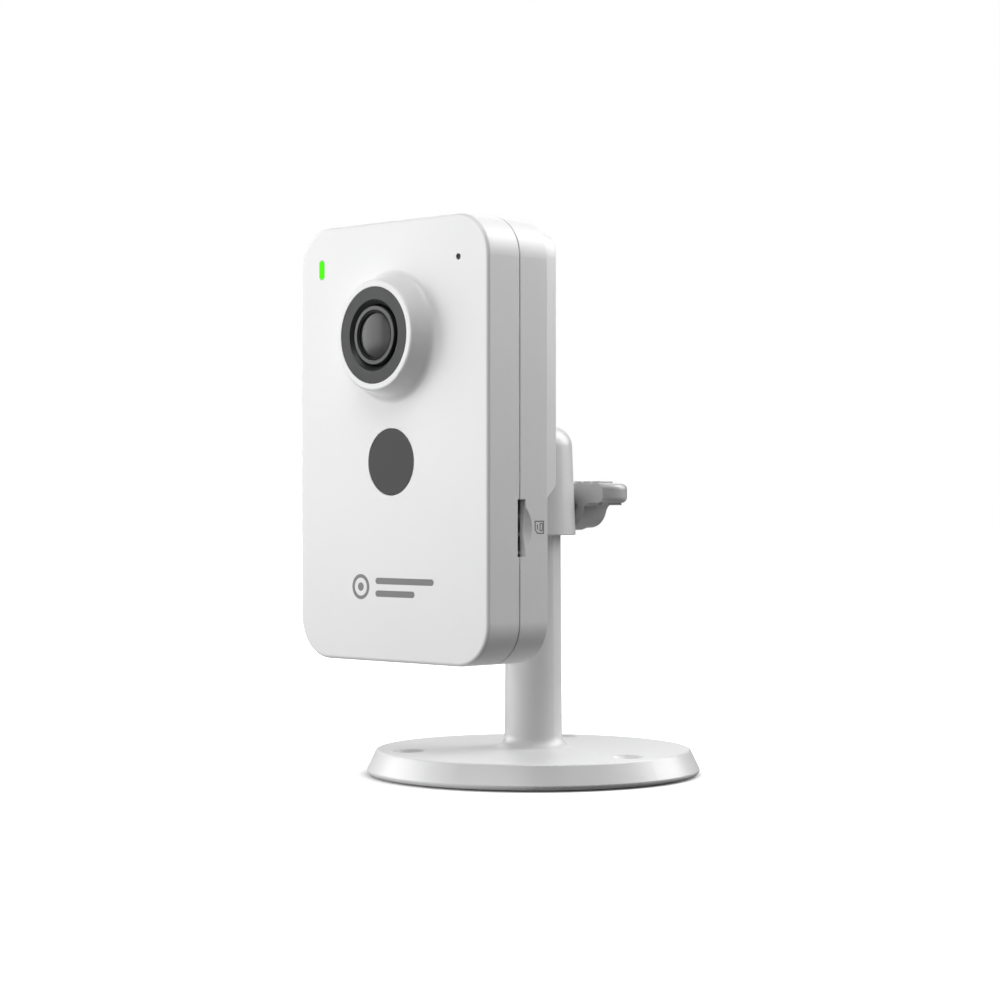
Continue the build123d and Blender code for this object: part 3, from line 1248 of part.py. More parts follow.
def make_status_light_pipe():
    """Clear rod that carries the status light to the front face."""
    end = BOARD_Y - STATUS_LED_SIZE[1] - LIGHT_PIPE_GAP
    rod = capsule_y(LIGHT_WIDTH, LIGHT_HEIGHT, FRONT_Y, end, LIGHT_X, LIGHT_Z)
    wide = LIGHT_WIDTH + 2 * LIGHT_FLANGE
    tall = LIGHT_HEIGHT + 2 * LIGHT_FLANGE
    return rod + capsule_y(wide, tall, FRONT_WALL_Y, FRONT_WALL_Y + LIGHT_FLANGE, LIGHT_X, LIGHT_Z)


def make_microphone():
    """Microphone at the upper corner of the board."""
    return chip(MICROPHONE_SIZE, MICROPHONE_X, BOARD_Y - MICROPHONE_SIZE[1], MICROPHONE_Z)


def make_microphone_boot():
    """Rubber tube from the front hole to the microphone."""
    end = BOARD_Y - MICROPHONE_SIZE[1]
    tube = rod_y(BOOT_R, FRONT_WALL_Y, end, MICROPHONE_X, MICROPHONE_Z)
    return tube - rod_y(BOOT_HOLE_R, FRONT_WALL_Y, end, MICROPHONE_X, MICROPHONE_Z)


def make_dark_window():
    """Round dark pane under the lens, with a flange behind the front wall."""
    pane = rod_y(WINDOW_R, FRONT_Y + WINDOW_RECESS, FRONT_WALL_Y, 0, WINDOW_Z)
    return pane + rod_y(WINDOW_FLANGE_R, FRONT_WALL_Y, WINDOW_BACK_Y, 0, WINDOW_Z)


def make_window_board():
    """Small board behind the window."""
    board = chip(WINDOW_BOARD_SIZE, 0, WINDOW_BOARD_Y, WINDOW_Z)
    end = WINDOW_BOARD_Y + WINDOW_BOARD_SIZE[1]
    holes = [rod_y(SMALL_SCREW_R + SEAT_GAP, WINDOW_BOARD_Y, end, x, z) for x, z in WINDOW_POST_PLACES]
    return without(board, holes)


def make_infrared_led():
    """Infrared light source with a small dome."""
    base = chip(INFRARED_LED_SIZE, INFRARED_X, WINDOW_BOARD_Y - INFRARED_LED_SIZE[1], WINDOW_Z)
    dome = Pos(INFRARED_X, WINDOW_BOARD_Y - INFRARED_LED_SIZE[1], WINDOW_Z) * Sphere(INFRARED_DOME_R)
    front = rod_y(
        INFRARED_DOME_R,
        WINDOW_BOARD_Y - INFRARED_LED_SIZE[1] - INFRARED_DOME_R,
        WINDOW_BOARD_Y - INFRARED_LED_SIZE[1],
        INFRARED_X,
        WINDOW_Z,
    )
    return base + (dome & front)


def make_light_sensor():
    """Sensor that tells day from night."""
    return chip(LIGHT_SENSOR_SIZE, LIGHT_SENSOR_X, WINDOW_BOARD_Y - LIGHT_SENSOR_SIZE[1], WINDOW_Z)


def cable_socket_places():
    """Start depths and heights of the flat cable's two sockets."""
    upper = (WINDOW_BOARD_Y + WINDOW_BOARD_SIZE[1], WINDOW_Z - CABLE_SOCKET_DROP)
    lower = (BOARD_Y - CABLE_SOCKET_SIZE[1], WINDOW_Z - CABLE_SOCKET_DROP - CABLE_RUN)
    return upper, lower


def make_cable_sockets():
    """Sockets at both ends of the flat cable."""
    return group([chip(CABLE_SOCKET_SIZE, 0, y, z) for y, z in cable_socket_places()])


def make_flat_cable():
    """Ribbon from the window's board to the main board."""
    (upper_y, upper_z), (lower_y, lower_z) = cable_socket_places()
    depth, height = CABLE_SOCKET_SIZE[1:]
    y_high = upper_y + (depth - CABLE_THICKNESS) / 2
    y_low = lower_y + (depth - CABLE_THICKNESS) / 2
    top = upper_z - height / 2
    bottom = lower_z + height / 2
    half = (top + bottom) / 2
    thick = CABLE_THICKNESS
    ribbon = outline(
        (y_high, top),
        (y_high, half, CABLE_BEND),
        (y_low, half, CABLE_BEND - thick),
        (y_low, bottom),
        (y_low + thick, bottom),
        (y_low + thick, half + thick, CABLE_BEND),
        (y_high + thick, half + thick, CABLE_BEND - thick),
        (y_high + thick, top),
    )
    return extrude(Plane((-CABLE_WIDTH / 2, 0, 0), x_dir=(0, 1, 0), z_dir=(1, 0, 0)) * ribbon, CABLE_WIDTH)


def make_antenna():
    """Flat antenna under the case's top."""
    half = ANTENNA_WIDTH / 2
    return block((-half, ANTENNA_Y, ANTENNA_Z), (half, ANTENNA_END_Y, HEAD_TOP_Z - HEAD_WALL))


def make_antenna_lead():
    """Thin wire from the antenna to the wireless module."""
    y = (ANTENNA_Y + ANTENNA_END_Y) / 2
    x = ANTENNA_LEAD_INSET - ANTENNA_WIDTH / 2
    end_z = LENS_Z - RADIO_DROP + RADIO_SIZE[2] / 2 - ANTENNA_LEAD_INSET
    end_y = BOARD_Y - RADIO_SIZE[1]
    corners = [(x, y, ANTENNA_Z), (x, y, end_z), (x, end_y, end_z)]
    path = FilletPolyline(*corners, radius=ANTENNA_LEAD_BEND)
    return sweep(Plane(corners[0], z_dir=(0, 0, -1)) * Circle(ANTENNA_LEAD_R), path)


# ------------------------------------------------- sockets, button and speaker
def make_card_socket():
    """Flat socket that the memory card slides into."""
    width = CARD_WIDTH + 2 * SOCKET_WALL
    start = CARD_START_X - SOCKET_WALL
    front = CARD_Y - SLIDE_GAP - SOCKET_LID
    low = SLOT_MIDDLE_Z - width / 2
    body = block((start, front, low), (SOCKET_END_X, BOARD_Y, low + width))
    half = CARD_WIDTH / 2 + SLIDE_GAP
    back = CARD_Y + CARD_THICKNESS + SLIDE_GAP
    return body - block(
        (CARD_START_X - SLIDE_GAP, CARD_Y - SLIDE_GAP, SLOT_MIDDLE_Z - half),
        (SOCKET_END_X, back, SLOT_MIDDLE_Z + half),
    )


def make_memory_card():
    """Small memory card with a notch on one side."""
    half = CARD_WIDTH / 2
    step = CARD_LENGTH / 3
    face = outline(
        (CARD_START_X, SLOT_MIDDLE_Z - half, CARD_CORNER),
        (CARD_END_X, SLOT_MIDDLE_Z - half, CARD_CORNER),
        (CARD_END_X, SLOT_MIDDLE_Z + half, CARD_CORNER),
        (CARD_START_X + step + CARD_NOTCH, SLOT_MIDDLE_Z + half),
        (CARD_START_X + step, SLOT_MIDDLE_Z + half - CARD_NOTCH),
        (CARD_START_X, SLOT_MIDDLE_Z + half - CARD_NOTCH, CARD_CORNER),
    )
    plane = Plane((0, CARD_Y + CARD_THICKNESS, 0), x_dir=(1, 0, 0), z_dir=(0, -1, 0))
    return extrude(plane * face, CARD_THICKNESS)


def make_usb_power_socket():
    """Metal shell of the power inlet, which points to the rear."""
    end = LOW_REAR_Y - POWER_RECESS_DEPTH - SEAT_GAP
    width, height = POWER_SHELL
    corner = height / 4
    shell = panel(width, height, corner, BOARD_BACK_Y, end, x=POWER_X, z=POWER_Z)
    inner_width = width - 2 * POWER_SHELL_WALL
    inner_height = height - 2 * POWER_SHELL_WALL
    inner_corner = corner - POWER_SHELL_WALL
    start = BOARD_BACK_Y + POWER_BASE
    return shell - panel(inner_width, inner_height, inner_corner, start, end, x=POWER_X, z=POWER_Z)


def make_usb_contact_tongue():
    """Plastic tongue with the contacts inside the power inlet."""
    start = BOARD_BACK_Y + POWER_BASE
    end = LOW_REAR_Y - POWER_RECESS_DEPTH - SEAT_GAP - POWER_TONGUE_END
    width, height = POWER_TONGUE
    return chip((width, end - start, height), POWER_X, start, POWER_Z + height / 2)


def make_reset_switch():
    """Push switch under the reset button."""
    body = chip(SWITCH_SIZE, RESET_X, BOARD_BACK_Y, RESET_Z)
    top = BOARD_BACK_Y + SWITCH_SIZE[1]
    return body + rod_y(SWITCH_STEM_R, top, top + SWITCH_STEM, RESET_X, RESET_Z)


def make_reset_button():
    """Button in the rear wall, with a flange that keeps it in."""
    flange_end = LOW_REAR_WALL_Y - RESET_STOP_GAP
    stem = rod_y(RESET_R, LOW_REAR_WALL_Y - RESET_INNER, LOW_REAR_Y - RESET_SUNK, RESET_X, RESET_Z)
    return stem + rod_y(RESET_FLANGE_R, flange_end - RESET_FLANGE, flange_end, RESET_X, RESET_Z)


def make_speaker():
    """Round speaker behind the grille holes."""
    end = LOW_REAR_WALL_Y - SPEAKER_GASKET
    start = end - SPEAKER_DEPTH
    rim = end - SPEAKER_RIM
    return turned_y(
        SPEAKER_X,
        SPEAKER_Z,
        (0, start),
        (SPEAKER_MAGNET_R, start),
        (SPEAKER_MAGNET_R, rim),
        (SPEAKER_R, rim),
        (SPEAKER_R, end),
        (SPEAKER_R - SPEAKER_WALL, end),
        (SPEAKER_CONE_R, rim),
        (0, rim),
    )


def make_speaker_gasket():
    """Foam ring between the speaker and the rear wall."""
    start = LOW_REAR_WALL_Y - SPEAKER_GASKET
    ring = rod_y(SPEAKER_R, start, LOW_REAR_WALL_Y, SPEAKER_X, SPEAKER_Z)
    return ring - rod_y(SPEAKER_R - SPEAKER_WALL, start, LOW_REAR_WALL_Y, SPEAKER_X, SPEAKER_Z)


def make_rating_label():
    """Blank label in a shallow recess on the back."""
    width, thickness, height = LABEL_SIZE
    start = REAR_Y - LABEL_SUNK
    return panel(width, height, LABEL_CORNER, start, start + thickness, z=PIVOT_Z + LABEL_RISE)


# --------------------------------------------------------------------- assembly
def make_rear_cover_with_ribs():
    """Rear cover and the thin ribs behind its card slot."""
    return joined([make_rear_cover(), *make_slot_ribs()])


NODES = {
    "stand_base": make_stand_base,
    "ballast_plate": make_ballast_plate,
    "foot_pad": make_foot_pad,
    "swivel_housing": make_swivel_housing,
    "thrust_washer": make_thrust_washer,
    "threaded_insert": make_threaded_insert,
    "brake_pad": make_brake_pad,
    "clamp_bolt": make_clamp_bolt,
    "clamp_knob": make_clamp_knob,
    "tilt_bracket": make_tilt_bracket,
    "bracket_screws": make_bracket_screws,
    "tilt_screw": make_tilt_screw,
    "tilt_nut": make_tilt_nut,
    "tilt_washers": make_tilt_washers,
    "front_cover": make_front_cover,
    "rear_cover": make_rear_cover_with_ribs,
    "case_screws": make_case_screws,
    "lens_trim_ring": make_lens_trim_ring,
    "lens_barrel": make_lens_barrel,
    "lens_retaining_ring": make_lens_retaining_ring,
    "front_lens_element": make_front_lens_element,
    "lens_spacers": make_lens_spacers,
    "middle_lens_element": make_middle_lens_element,
    "rear_lens_element": make_rear_lens_element,
    "lens_holder": make_lens_holder,
    "lens_holder_screws": make_lens_holder_screws,
    "ir_cut_frame": make_ir_cut_frame,
    "ir_cut_filter": make_ir_cut_filter,
    "clear_filter": make_clear_filter,
    "ir_cut_coil": make_ir_cut_coil,
    "image_sensor": make_image_sensor,
    "main_board": make_main_board,
    "board_screws": make_board_screws,
    "processor": make_processor,
    "thermal_pad": make_thermal_pad,
    "heat_spreader": make_heat_spreader,
    "memory_chips": make_memory_chips,
    "radio_module": make_radio_module,
    "shield_can": make_shield_can,
    "status_led": make_status_led,
    "status_light_pipe": make_status_light_pipe,
    "microphone": make_microphone,
    "microphone_boot": make_microphone_boot,
    "dark_window": make_dark_window,
    "window_board": make_window_board,
    "infrared_led": make_infrared_led,
    "light_sensor": make_light_sensor,
    "cable_sockets": make_cable_sockets,
    "flat_cable": make_flat_cable,
    "antenna": make_antenna,
    "antenna_lead": make_antenna_lead,
    "card_socket": make_card_socket,
    "memory_card": make_memory_card,
    "usb_power_socket": make_usb_power_socket,
    "usb_contact_tongue": make_usb_contact_tongue,
    "reset_switch": make_reset_switch,
    "reset_button": make_reset_button,
    "speaker": make_speaker,
    "speaker_gasket": make_speaker_gasket,
    "rating_label": make_rating_label,
}

os.makedirs("parts", exist_ok=True)
for name, make in NODES.items():
    export_step(make(), f"parts/{name}.step")
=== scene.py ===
"""Looks of an indoor cube camera on a weighted stand: its finishes, printed marks, fine parts and studio.

Sizes in the classes are millimetres. Everything that is handed to Blender is metres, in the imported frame:
+Z is up, the lens looks along -Y, and the origin is the middle of the foot.
"""

import json
import logging
import math
from dataclasses import dataclass
from enum import Enum
from typing import ClassVar, Iterable, Sequence

import bmesh
import bpy
from mathutils import Matrix, Vector

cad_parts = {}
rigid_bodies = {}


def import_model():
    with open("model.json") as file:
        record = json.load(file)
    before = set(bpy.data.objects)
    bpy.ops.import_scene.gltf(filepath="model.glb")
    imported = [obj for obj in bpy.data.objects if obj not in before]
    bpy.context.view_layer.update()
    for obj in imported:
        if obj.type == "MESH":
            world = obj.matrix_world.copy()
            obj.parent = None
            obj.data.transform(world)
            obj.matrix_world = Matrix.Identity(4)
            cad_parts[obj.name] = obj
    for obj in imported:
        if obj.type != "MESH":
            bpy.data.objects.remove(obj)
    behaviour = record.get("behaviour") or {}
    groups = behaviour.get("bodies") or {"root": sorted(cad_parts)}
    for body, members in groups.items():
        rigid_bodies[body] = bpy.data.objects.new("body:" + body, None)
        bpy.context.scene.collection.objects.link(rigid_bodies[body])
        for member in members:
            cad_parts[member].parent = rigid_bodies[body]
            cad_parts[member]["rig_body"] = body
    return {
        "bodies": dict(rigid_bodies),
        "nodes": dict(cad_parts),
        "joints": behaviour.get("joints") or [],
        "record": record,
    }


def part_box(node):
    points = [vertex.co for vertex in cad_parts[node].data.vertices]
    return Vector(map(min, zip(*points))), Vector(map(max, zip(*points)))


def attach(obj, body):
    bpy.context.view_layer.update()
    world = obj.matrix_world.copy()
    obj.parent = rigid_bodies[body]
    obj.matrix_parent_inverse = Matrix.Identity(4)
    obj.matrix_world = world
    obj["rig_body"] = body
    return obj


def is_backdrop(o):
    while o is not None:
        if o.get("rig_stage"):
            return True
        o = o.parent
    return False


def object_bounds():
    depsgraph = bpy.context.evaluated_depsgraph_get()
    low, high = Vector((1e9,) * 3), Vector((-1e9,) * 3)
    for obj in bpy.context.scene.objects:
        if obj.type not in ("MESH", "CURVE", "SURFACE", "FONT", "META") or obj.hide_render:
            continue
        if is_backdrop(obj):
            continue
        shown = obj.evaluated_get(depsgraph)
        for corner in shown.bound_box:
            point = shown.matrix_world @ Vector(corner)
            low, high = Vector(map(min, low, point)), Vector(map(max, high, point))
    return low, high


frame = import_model()
CAD_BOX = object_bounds()

MM = 0.001
LOG = logging.getLogger("cube_camera")
Colour = tuple[float, float, float]
Point = tuple[float, float]
Place = tuple[float, float, float]
Rectangle = tuple[float, float, float, float]


class Slot(Enum):
    """The record's material slots."""

    CASE = "case_white"
    STAND = "stand_white"
    KNOB = "knob_grey"
    TRIM = "trim_dark"
    BARREL = "lens_black"
    GLASS = "lens_glass"
    WINDOW = "window_dark"
    LIGHT = "light_green"
    STEEL = "steel"
    BRASS = "brass"
    NYLON = "nylon"
    RUBBER = "rubber"
    BOARD = "board_green"
    CHIP = "chip_black"
    ALUMINIUM = "aluminium"
    COPPER = "coil_copper"
    SENSOR = "sensor_dark"
    DAY_PANE = "filter_day"
    NIGHT_PANE = "filter_night"
    FLEX = "flex_amber"
    CARD = "card_black"
    LABEL = "label_silver"
    THERMAL = "thermal_grey"


class Axis(Enum):
    """The direction along which a shape is drawn out or turned."""

    X = "x"
    Y = "y"
    Z = "z"

    def point(self, across: float, up: float, along: float) -> Vector:
        """The point in metres, from millimetres across, up and along this axis."""
        if self is Axis.X:
            return Vector((along, across, up)) * MM
        if self is Axis.Y:
            return Vector((across, along, up)) * MM
        return Vector((across, up, along)) * MM


# ------------------------------------------------------------------ finishes
class Recipe:
    """Wires the nodes of one material, so that a finish reads as a list of layers."""

    def __init__(self, name: str) -> None:
        """Starts a material.

        Args:
            name: The material's name.
        """
        self.material = bpy.data.materials.new(name)
        self.material.use_nodes = True
        self.tree = self.material.node_tree
        self.shader = self.tree.nodes["Principled BSDF"]
        self.place = self.tree.nodes.new("ShaderNodeTexCoord").outputs["Object"]

    def add(self, kind: str, **settings: object) -> bpy.types.Node:
        """Adds a node.

        Args:
            kind: The node's type.
            **settings: Values of its properties.

        Returns:
            The new node.
        """
        node = self.tree.nodes.new(kind)
        for key, value in settings.items():
            setattr(node, key, value)
        return node

    def feed(self, socket: bpy.types.NodeSocket, value: object) -> None:
        """Links or sets a socket.

        Args:
            socket: The input.
            value: An output to link, or a plain value.
        """
        if isinstance(value, bpy.types.NodeSocket):
            self.tree.links.new(value, socket)
        else:
            socket.default_value = value

    def stretched(self, scale: Place) -> bpy.types.NodeSocket:
        """The object's coordinates, scaled along each axis.

        Args:
            scale: The scale along X, Y and Z.

        Returns:
            The vector output.
        """
        node = self.add("ShaderNodeMapping")
        self.feed(node.inputs["Vector"], self.place)
        node.inputs["Scale"].default_value = scale
        return node.outputs["Vector"]

    def noise(self, scale: float, detail: float = 2.0, vector: object = None) -> bpy.types.NodeSocket:
        """Even noise.

        Args:
            scale: Cells per metre.
            detail: Octaves.
            vector: Coordinates, or None for the object's own.

        Returns:
            The noise from 0 to 1.
        """
        node = self.add("ShaderNodeTexNoise")
        self.feed(node.inputs["Vector"], vector or self.place)
        node.inputs["Scale"].default_value = scale
        node.inputs["Detail"].default_value = detail
        return node.outputs["Fac"]

    def spread(self, value: object, low: float, high: float, start: float = 0.3, end: float = 0.7) -> object:
        """Maps a value from start..end to low..high.

        Args:
            value: The value's output.
            low: Result at start.
            high: Result at end.
            start: Lower end of the value.
            end: Upper end of the value.

        Returns:
            The mapped output.
        """
        node = self.add("ShaderNodeMapRange")
        self.feed(node.inputs["Value"], value)
        for key, number in (("From Min", start), ("From Max", end), ("To Min", low), ("To Max", high)):
            node.inputs[key].default_value = number
        return node.outputs["Result"]

    def sum(self, operation: str, first: object, second: object) -> bpy.types.NodeSocket:
        """A calculation with two numbers.

        Args:
            operation: The kind of calculation.
            first: The first number or output.
            second: The second number or output.

        Returns:
            The result's output.
        """
        node = self.add("ShaderNodeMath", operation=operation)
        self.feed(node.inputs[0], first)
        self.feed(node.inputs[1], second)
        return node.outputs["Value"]

    def mixed(self, share: object, first: object, second: object) -> bpy.types.NodeSocket:
        """A mix of two colours.

        Args:
            share: Share of the second colour.
            first: A colour or output.
            second: A colour or output.

        Returns:
            The colour output.
        """
        node = self.add("ShaderNodeMix", data_type="RGBA")
        self.feed(node.inputs["Factor"], share)
        for key, colour in (("A", first), ("B", second)):
            socket = next(s for s in node.inputs if s.name == key and s.type == "RGBA")
            self.feed(socket, colour if isinstance(colour, bpy.types.NodeSocket) else (*colour, 1.0))
        return next(s for s in node.outputs if s.type == "RGBA")

    def bevel(self, radius: float) -> bpy.types.NodeSocket:
        """The normal with edges rounded to a radius in metres."""
        node = self.add("ShaderNodeBevel", samples=4)
        node.inputs["Radius"].default_value = radius
        return node.outputs["Normal"]

    def edge_share(self, rounded: bpy.types.NodeSocket) -> bpy.types.NodeSocket:
        """How near an edge a point is.

        Args:
            rounded: The rounded normal.

        Returns:
            A share from 0 on a flat to 1 on an edge.
        """
        dot = self.add("ShaderNodeVectorMath", operation="DOT_PRODUCT")
        self.feed(dot.inputs[0], rounded)
        self.feed(dot.inputs[1], self.add("ShaderNodeNewGeometry").outputs["Normal"])
        return self.spread(dot.outputs["Value"], 1.0, 0.0, 0.72, 0.98)

    def bump(self, height: object, depth: float, normal: object = None) -> bpy.types.NodeSocket:
        """A bumpy normal.

        Args:
            height: The height's output from 0 to 1.
            depth: Height in metres.
            normal: The normal that it starts from.

        Returns:
            The normal output.
        """
        node = self.add("ShaderNodeBump")
        self.feed(node.inputs["Height"], height)
        node.inputs["Distance"].default_value = depth
        if normal is not None:
            self.feed(node.inputs["Normal"], normal)
        return node.outputs["Normal"]

    def bands(self, pitch: float, axis: Axis) -> bpy.types.NodeSocket:
        """Even ridges.

        Args:
            pitch: Distance from ridge to ridge, in metres.
            axis: The direction that they follow each other in.

        Returns:
            The ridge height from 0 to 1.
        """
        node = self.add("ShaderNodeTexWave", wave_type="BANDS", bands_direction=axis.name)
        self.feed(node.inputs["Vector"], self.place)
        node.inputs["Scale"].default_value = math.pi / (10.0 * pitch)
        return node.outputs["Fac"]

    def near_axis(self, axis: Axis, middle: Point, radius: float) -> bpy.types.NodeSocket:
        """Whether a point is close to a line along X or Y.

        Args:
            axis: The line's direction.
            middle: The line's place across that axis, in metres.
            radius: The distance within which the result is 1, in metres.

        Returns:
            1 near the line and 0 away from it.
        """
        split = self.add("ShaderNodeSeparateXYZ")
        self.feed(split.inputs["Vector"], self.place)
        across = split.outputs["Y" if axis is Axis.X else "X"]
        first = self.sum("POWER", self.sum("SUBTRACT", across, middle[0]), 2.0)
        second = self.sum("POWER", self.sum("SUBTRACT", split.outputs["Z"], middle[1]), 2.0)
        return self.sum("LESS_THAN", self.sum("SQRT", self.sum("ADD", first, second), 0.0), radius)


@dataclass(frozen=True)
class Finish:
    """A solid finish with slow colour drift, fine grain, uneven gloss, and edges mixed toward a lighter
    colour that is partly wear and partly a painted edge highlight.
    """

    name: str
    colour: Colour
    drift: Colour
    gloss: Point = (0.35, 0.45)
    metal: float = 0.0
    coat: float = 0.0
    grain: float = 2600.0
    grain_depth: float = 0.000003
    patch: float = 45.0
    stretch: Place = (1.0, 1.0, 1.0)
    edge: float = 0.00015
    # The lighter edge colour and its share: partly wear, partly a painted edge highlight.
    worn: Colour = (0.8, 0.8, 0.8)
    wear: float = 0.15
    shine: float = 0.5

    def tinted(self, recipe: Recipe) -> bpy.types.NodeSocket:
        """The colour before wear, drifting slowly over the surface."""
        share = recipe.spread(recipe.noise(self.patch, 3.0), 0.0, 1.0)
        return recipe.mixed(share, self.colour, self.drift)

    def height(self, recipe: Recipe) -> bpy.types.NodeSocket:
        """The fine grain's height."""
        return recipe.noise(self.grain, 3.0, recipe.stretched(self.stretch))

    def made(self) -> bpy.types.Material:
        """Makes the material.

        Returns:
            The finished material.
        """
        recipe = Recipe(self.name)
        shader = recipe.shader
        rounded = recipe.bevel(self.edge)
        height = self.height(recipe)
        # Edges turn toward the lighter colour in patches: partly rubbed wear, partly a painted edge
        # highlight.
        rubbed_and_highlit = recipe.spread(recipe.noise(900.0), 0.0, self.wear)
        edge_wear_and_highlight = recipe.sum("MULTIPLY", recipe.edge_share(rounded), rubbed_and_highlit)
        recipe.feed(shader.inputs["Base Color"], recipe.mixed(edge_wear_and_highlight, self.tinted(recipe), self.worn))
        smear = recipe.noise(self.grain / 12.0, 2.0, recipe.stretched(self.stretch))
        recipe.feed(shader.inputs["Roughness"], recipe.spread(smear, *self.gloss))
        recipe.feed(shader.inputs["Normal"], recipe.bump(height, self.grain_depth, rounded))
        shader.inputs["Metallic"].default_value = self.metal
        shader.inputs["Coat Weight"].default_value = self.coat
        shader.inputs["Coat Roughness"].default_value = 0.08
        shader.inputs["Specular IOR Level"].default_value = self.shine
        self.extra(recipe)
        return recipe.material

    def extra(self, recipe: Recipe) -> None:
        """What a special finish adds; a plain one adds nothing."""


@dataclass(frozen=True)
class ClearFinish(Finish):
    """Glass or clear plastic that light goes through."""

    clearness: float = 1.0
    bending: float = 1.52

    def extra(self, recipe: Recipe) -> None:
        """Lets light through."""
        recipe.shader.inputs["Transmission Weight"].default_value = self.clearness
        recipe.shader.inputs["IOR"].default_value = self.bending


@dataclass(frozen=True)
class LitFinish(Finish):
    """Clear plastic with a light behind it, glowing in its own colour."""

    glow: float = 1.0

    def extra(self, recipe: Recipe) -> None:
        """Makes the surface glow in its own colour."""
        recipe.feed(recipe.shader.inputs["Emission Color"], self.tinted(recipe))
        recipe.shader.inputs["Emission Strength"].default_value = self.glow


@dataclass(frozen=True)
class ThreadedFinish(Finish):
    """Metal with a screw thread close to its axis."""

    axis: Axis = Axis.Y
    middle: Point = (0.0, 0.0)
    thread_radius: float = 0.001
    pitch: float = 0.0005

    @classmethod
    def over(
        cls, base: Finish, name: str, depth: float, middle: Point, radius: float, pitch: float,
        axis: Axis = Axis.Y,
    ) -> "ThreadedFinish":
        """Cuts a thread into another finish.

        Args:
            base: The other finish.
            name: The new finish's name.
            depth: Height of the ridges in metres.
            middle: The thread's axis, across and up, in millimetres.
            radius: The thread's radius in millimetres.
            pitch: Its pitch in millimetres.
            axis: The direction of its axis.

        Returns:
            The threaded finish.
        """
        return cls(
            name, base.colour, base.drift, base.gloss, metal=base.metal, grain_depth=depth, edge=base.edge,
            worn=base.worn, wear=base.wear, axis=axis, middle=(middle[0] * MM, middle[1] * MM),
            thread_radius=radius * MM, pitch=pitch * MM,
        )

    def height(self, recipe: Recipe) -> bpy.types.NodeSocket:
        """Thread ridges on the shank."""
        near = recipe.near_axis(self.axis, self.middle, self.thread_radius)
        return recipe.sum("MULTIPLY", recipe.bands(self.pitch, self.axis), near)


@dataclass(frozen=True)
class WoundFinish(Finish):
    """Enamelled wire, wound turn beside turn."""

    pitch: float = 0.00018

    def height(self, recipe: Recipe) -> bpy.types.NodeSocket:
        """One ridge for each turn."""
        return recipe.bands(self.pitch, Axis.X)


@dataclass(frozen=True)
class TrackedFinish(Finish):
    """Solder mask over copper tracks, or a film with tracks in it."""

    cells: float = 260.0
    track: Colour = (0.05, 0.25, 0.09)

    def tracks(self, recipe: Recipe) -> bpy.types.NodeSocket:
        """1 on a track and 0 beside it."""
        node = recipe.add("ShaderNodeTexVoronoi", feature="F1", distance="CHEBYCHEV")
        recipe.feed(node.inputs["Vector"], recipe.place)
        node.inputs["Scale"].default_value = self.cells
        ripple = recipe.sum("PINGPONG", node.outputs["Distance"], 0.11)
        return recipe.spread(ripple, 0.0, 1.0, 0.045, 0.065)

    def tinted(self, recipe: Recipe) -> bpy.types.NodeSocket:
        """The mask's colour, lighter over the tracks."""
        return recipe.mixed(self.tracks(recipe), super().tinted(recipe), self.track)

    def height(self, recipe: Recipe) -> bpy.types.NodeSocket:
        """Tracks stand a little proud."""
        return self.tracks(recipe)


@dataclass(frozen=True)
class WovenFinish(Finish):
    """Pressed fibre with a fine weave, as in a speaker's cone."""

    weave: float = 0.00035

    def height(self, recipe: Recipe) -> bpy.types.NodeSocket:
        """Crossing threads."""
        return recipe.sum("MULTIPLY", recipe.bands(self.weave, Axis.X), recipe.bands(self.weave, Axis.Z))


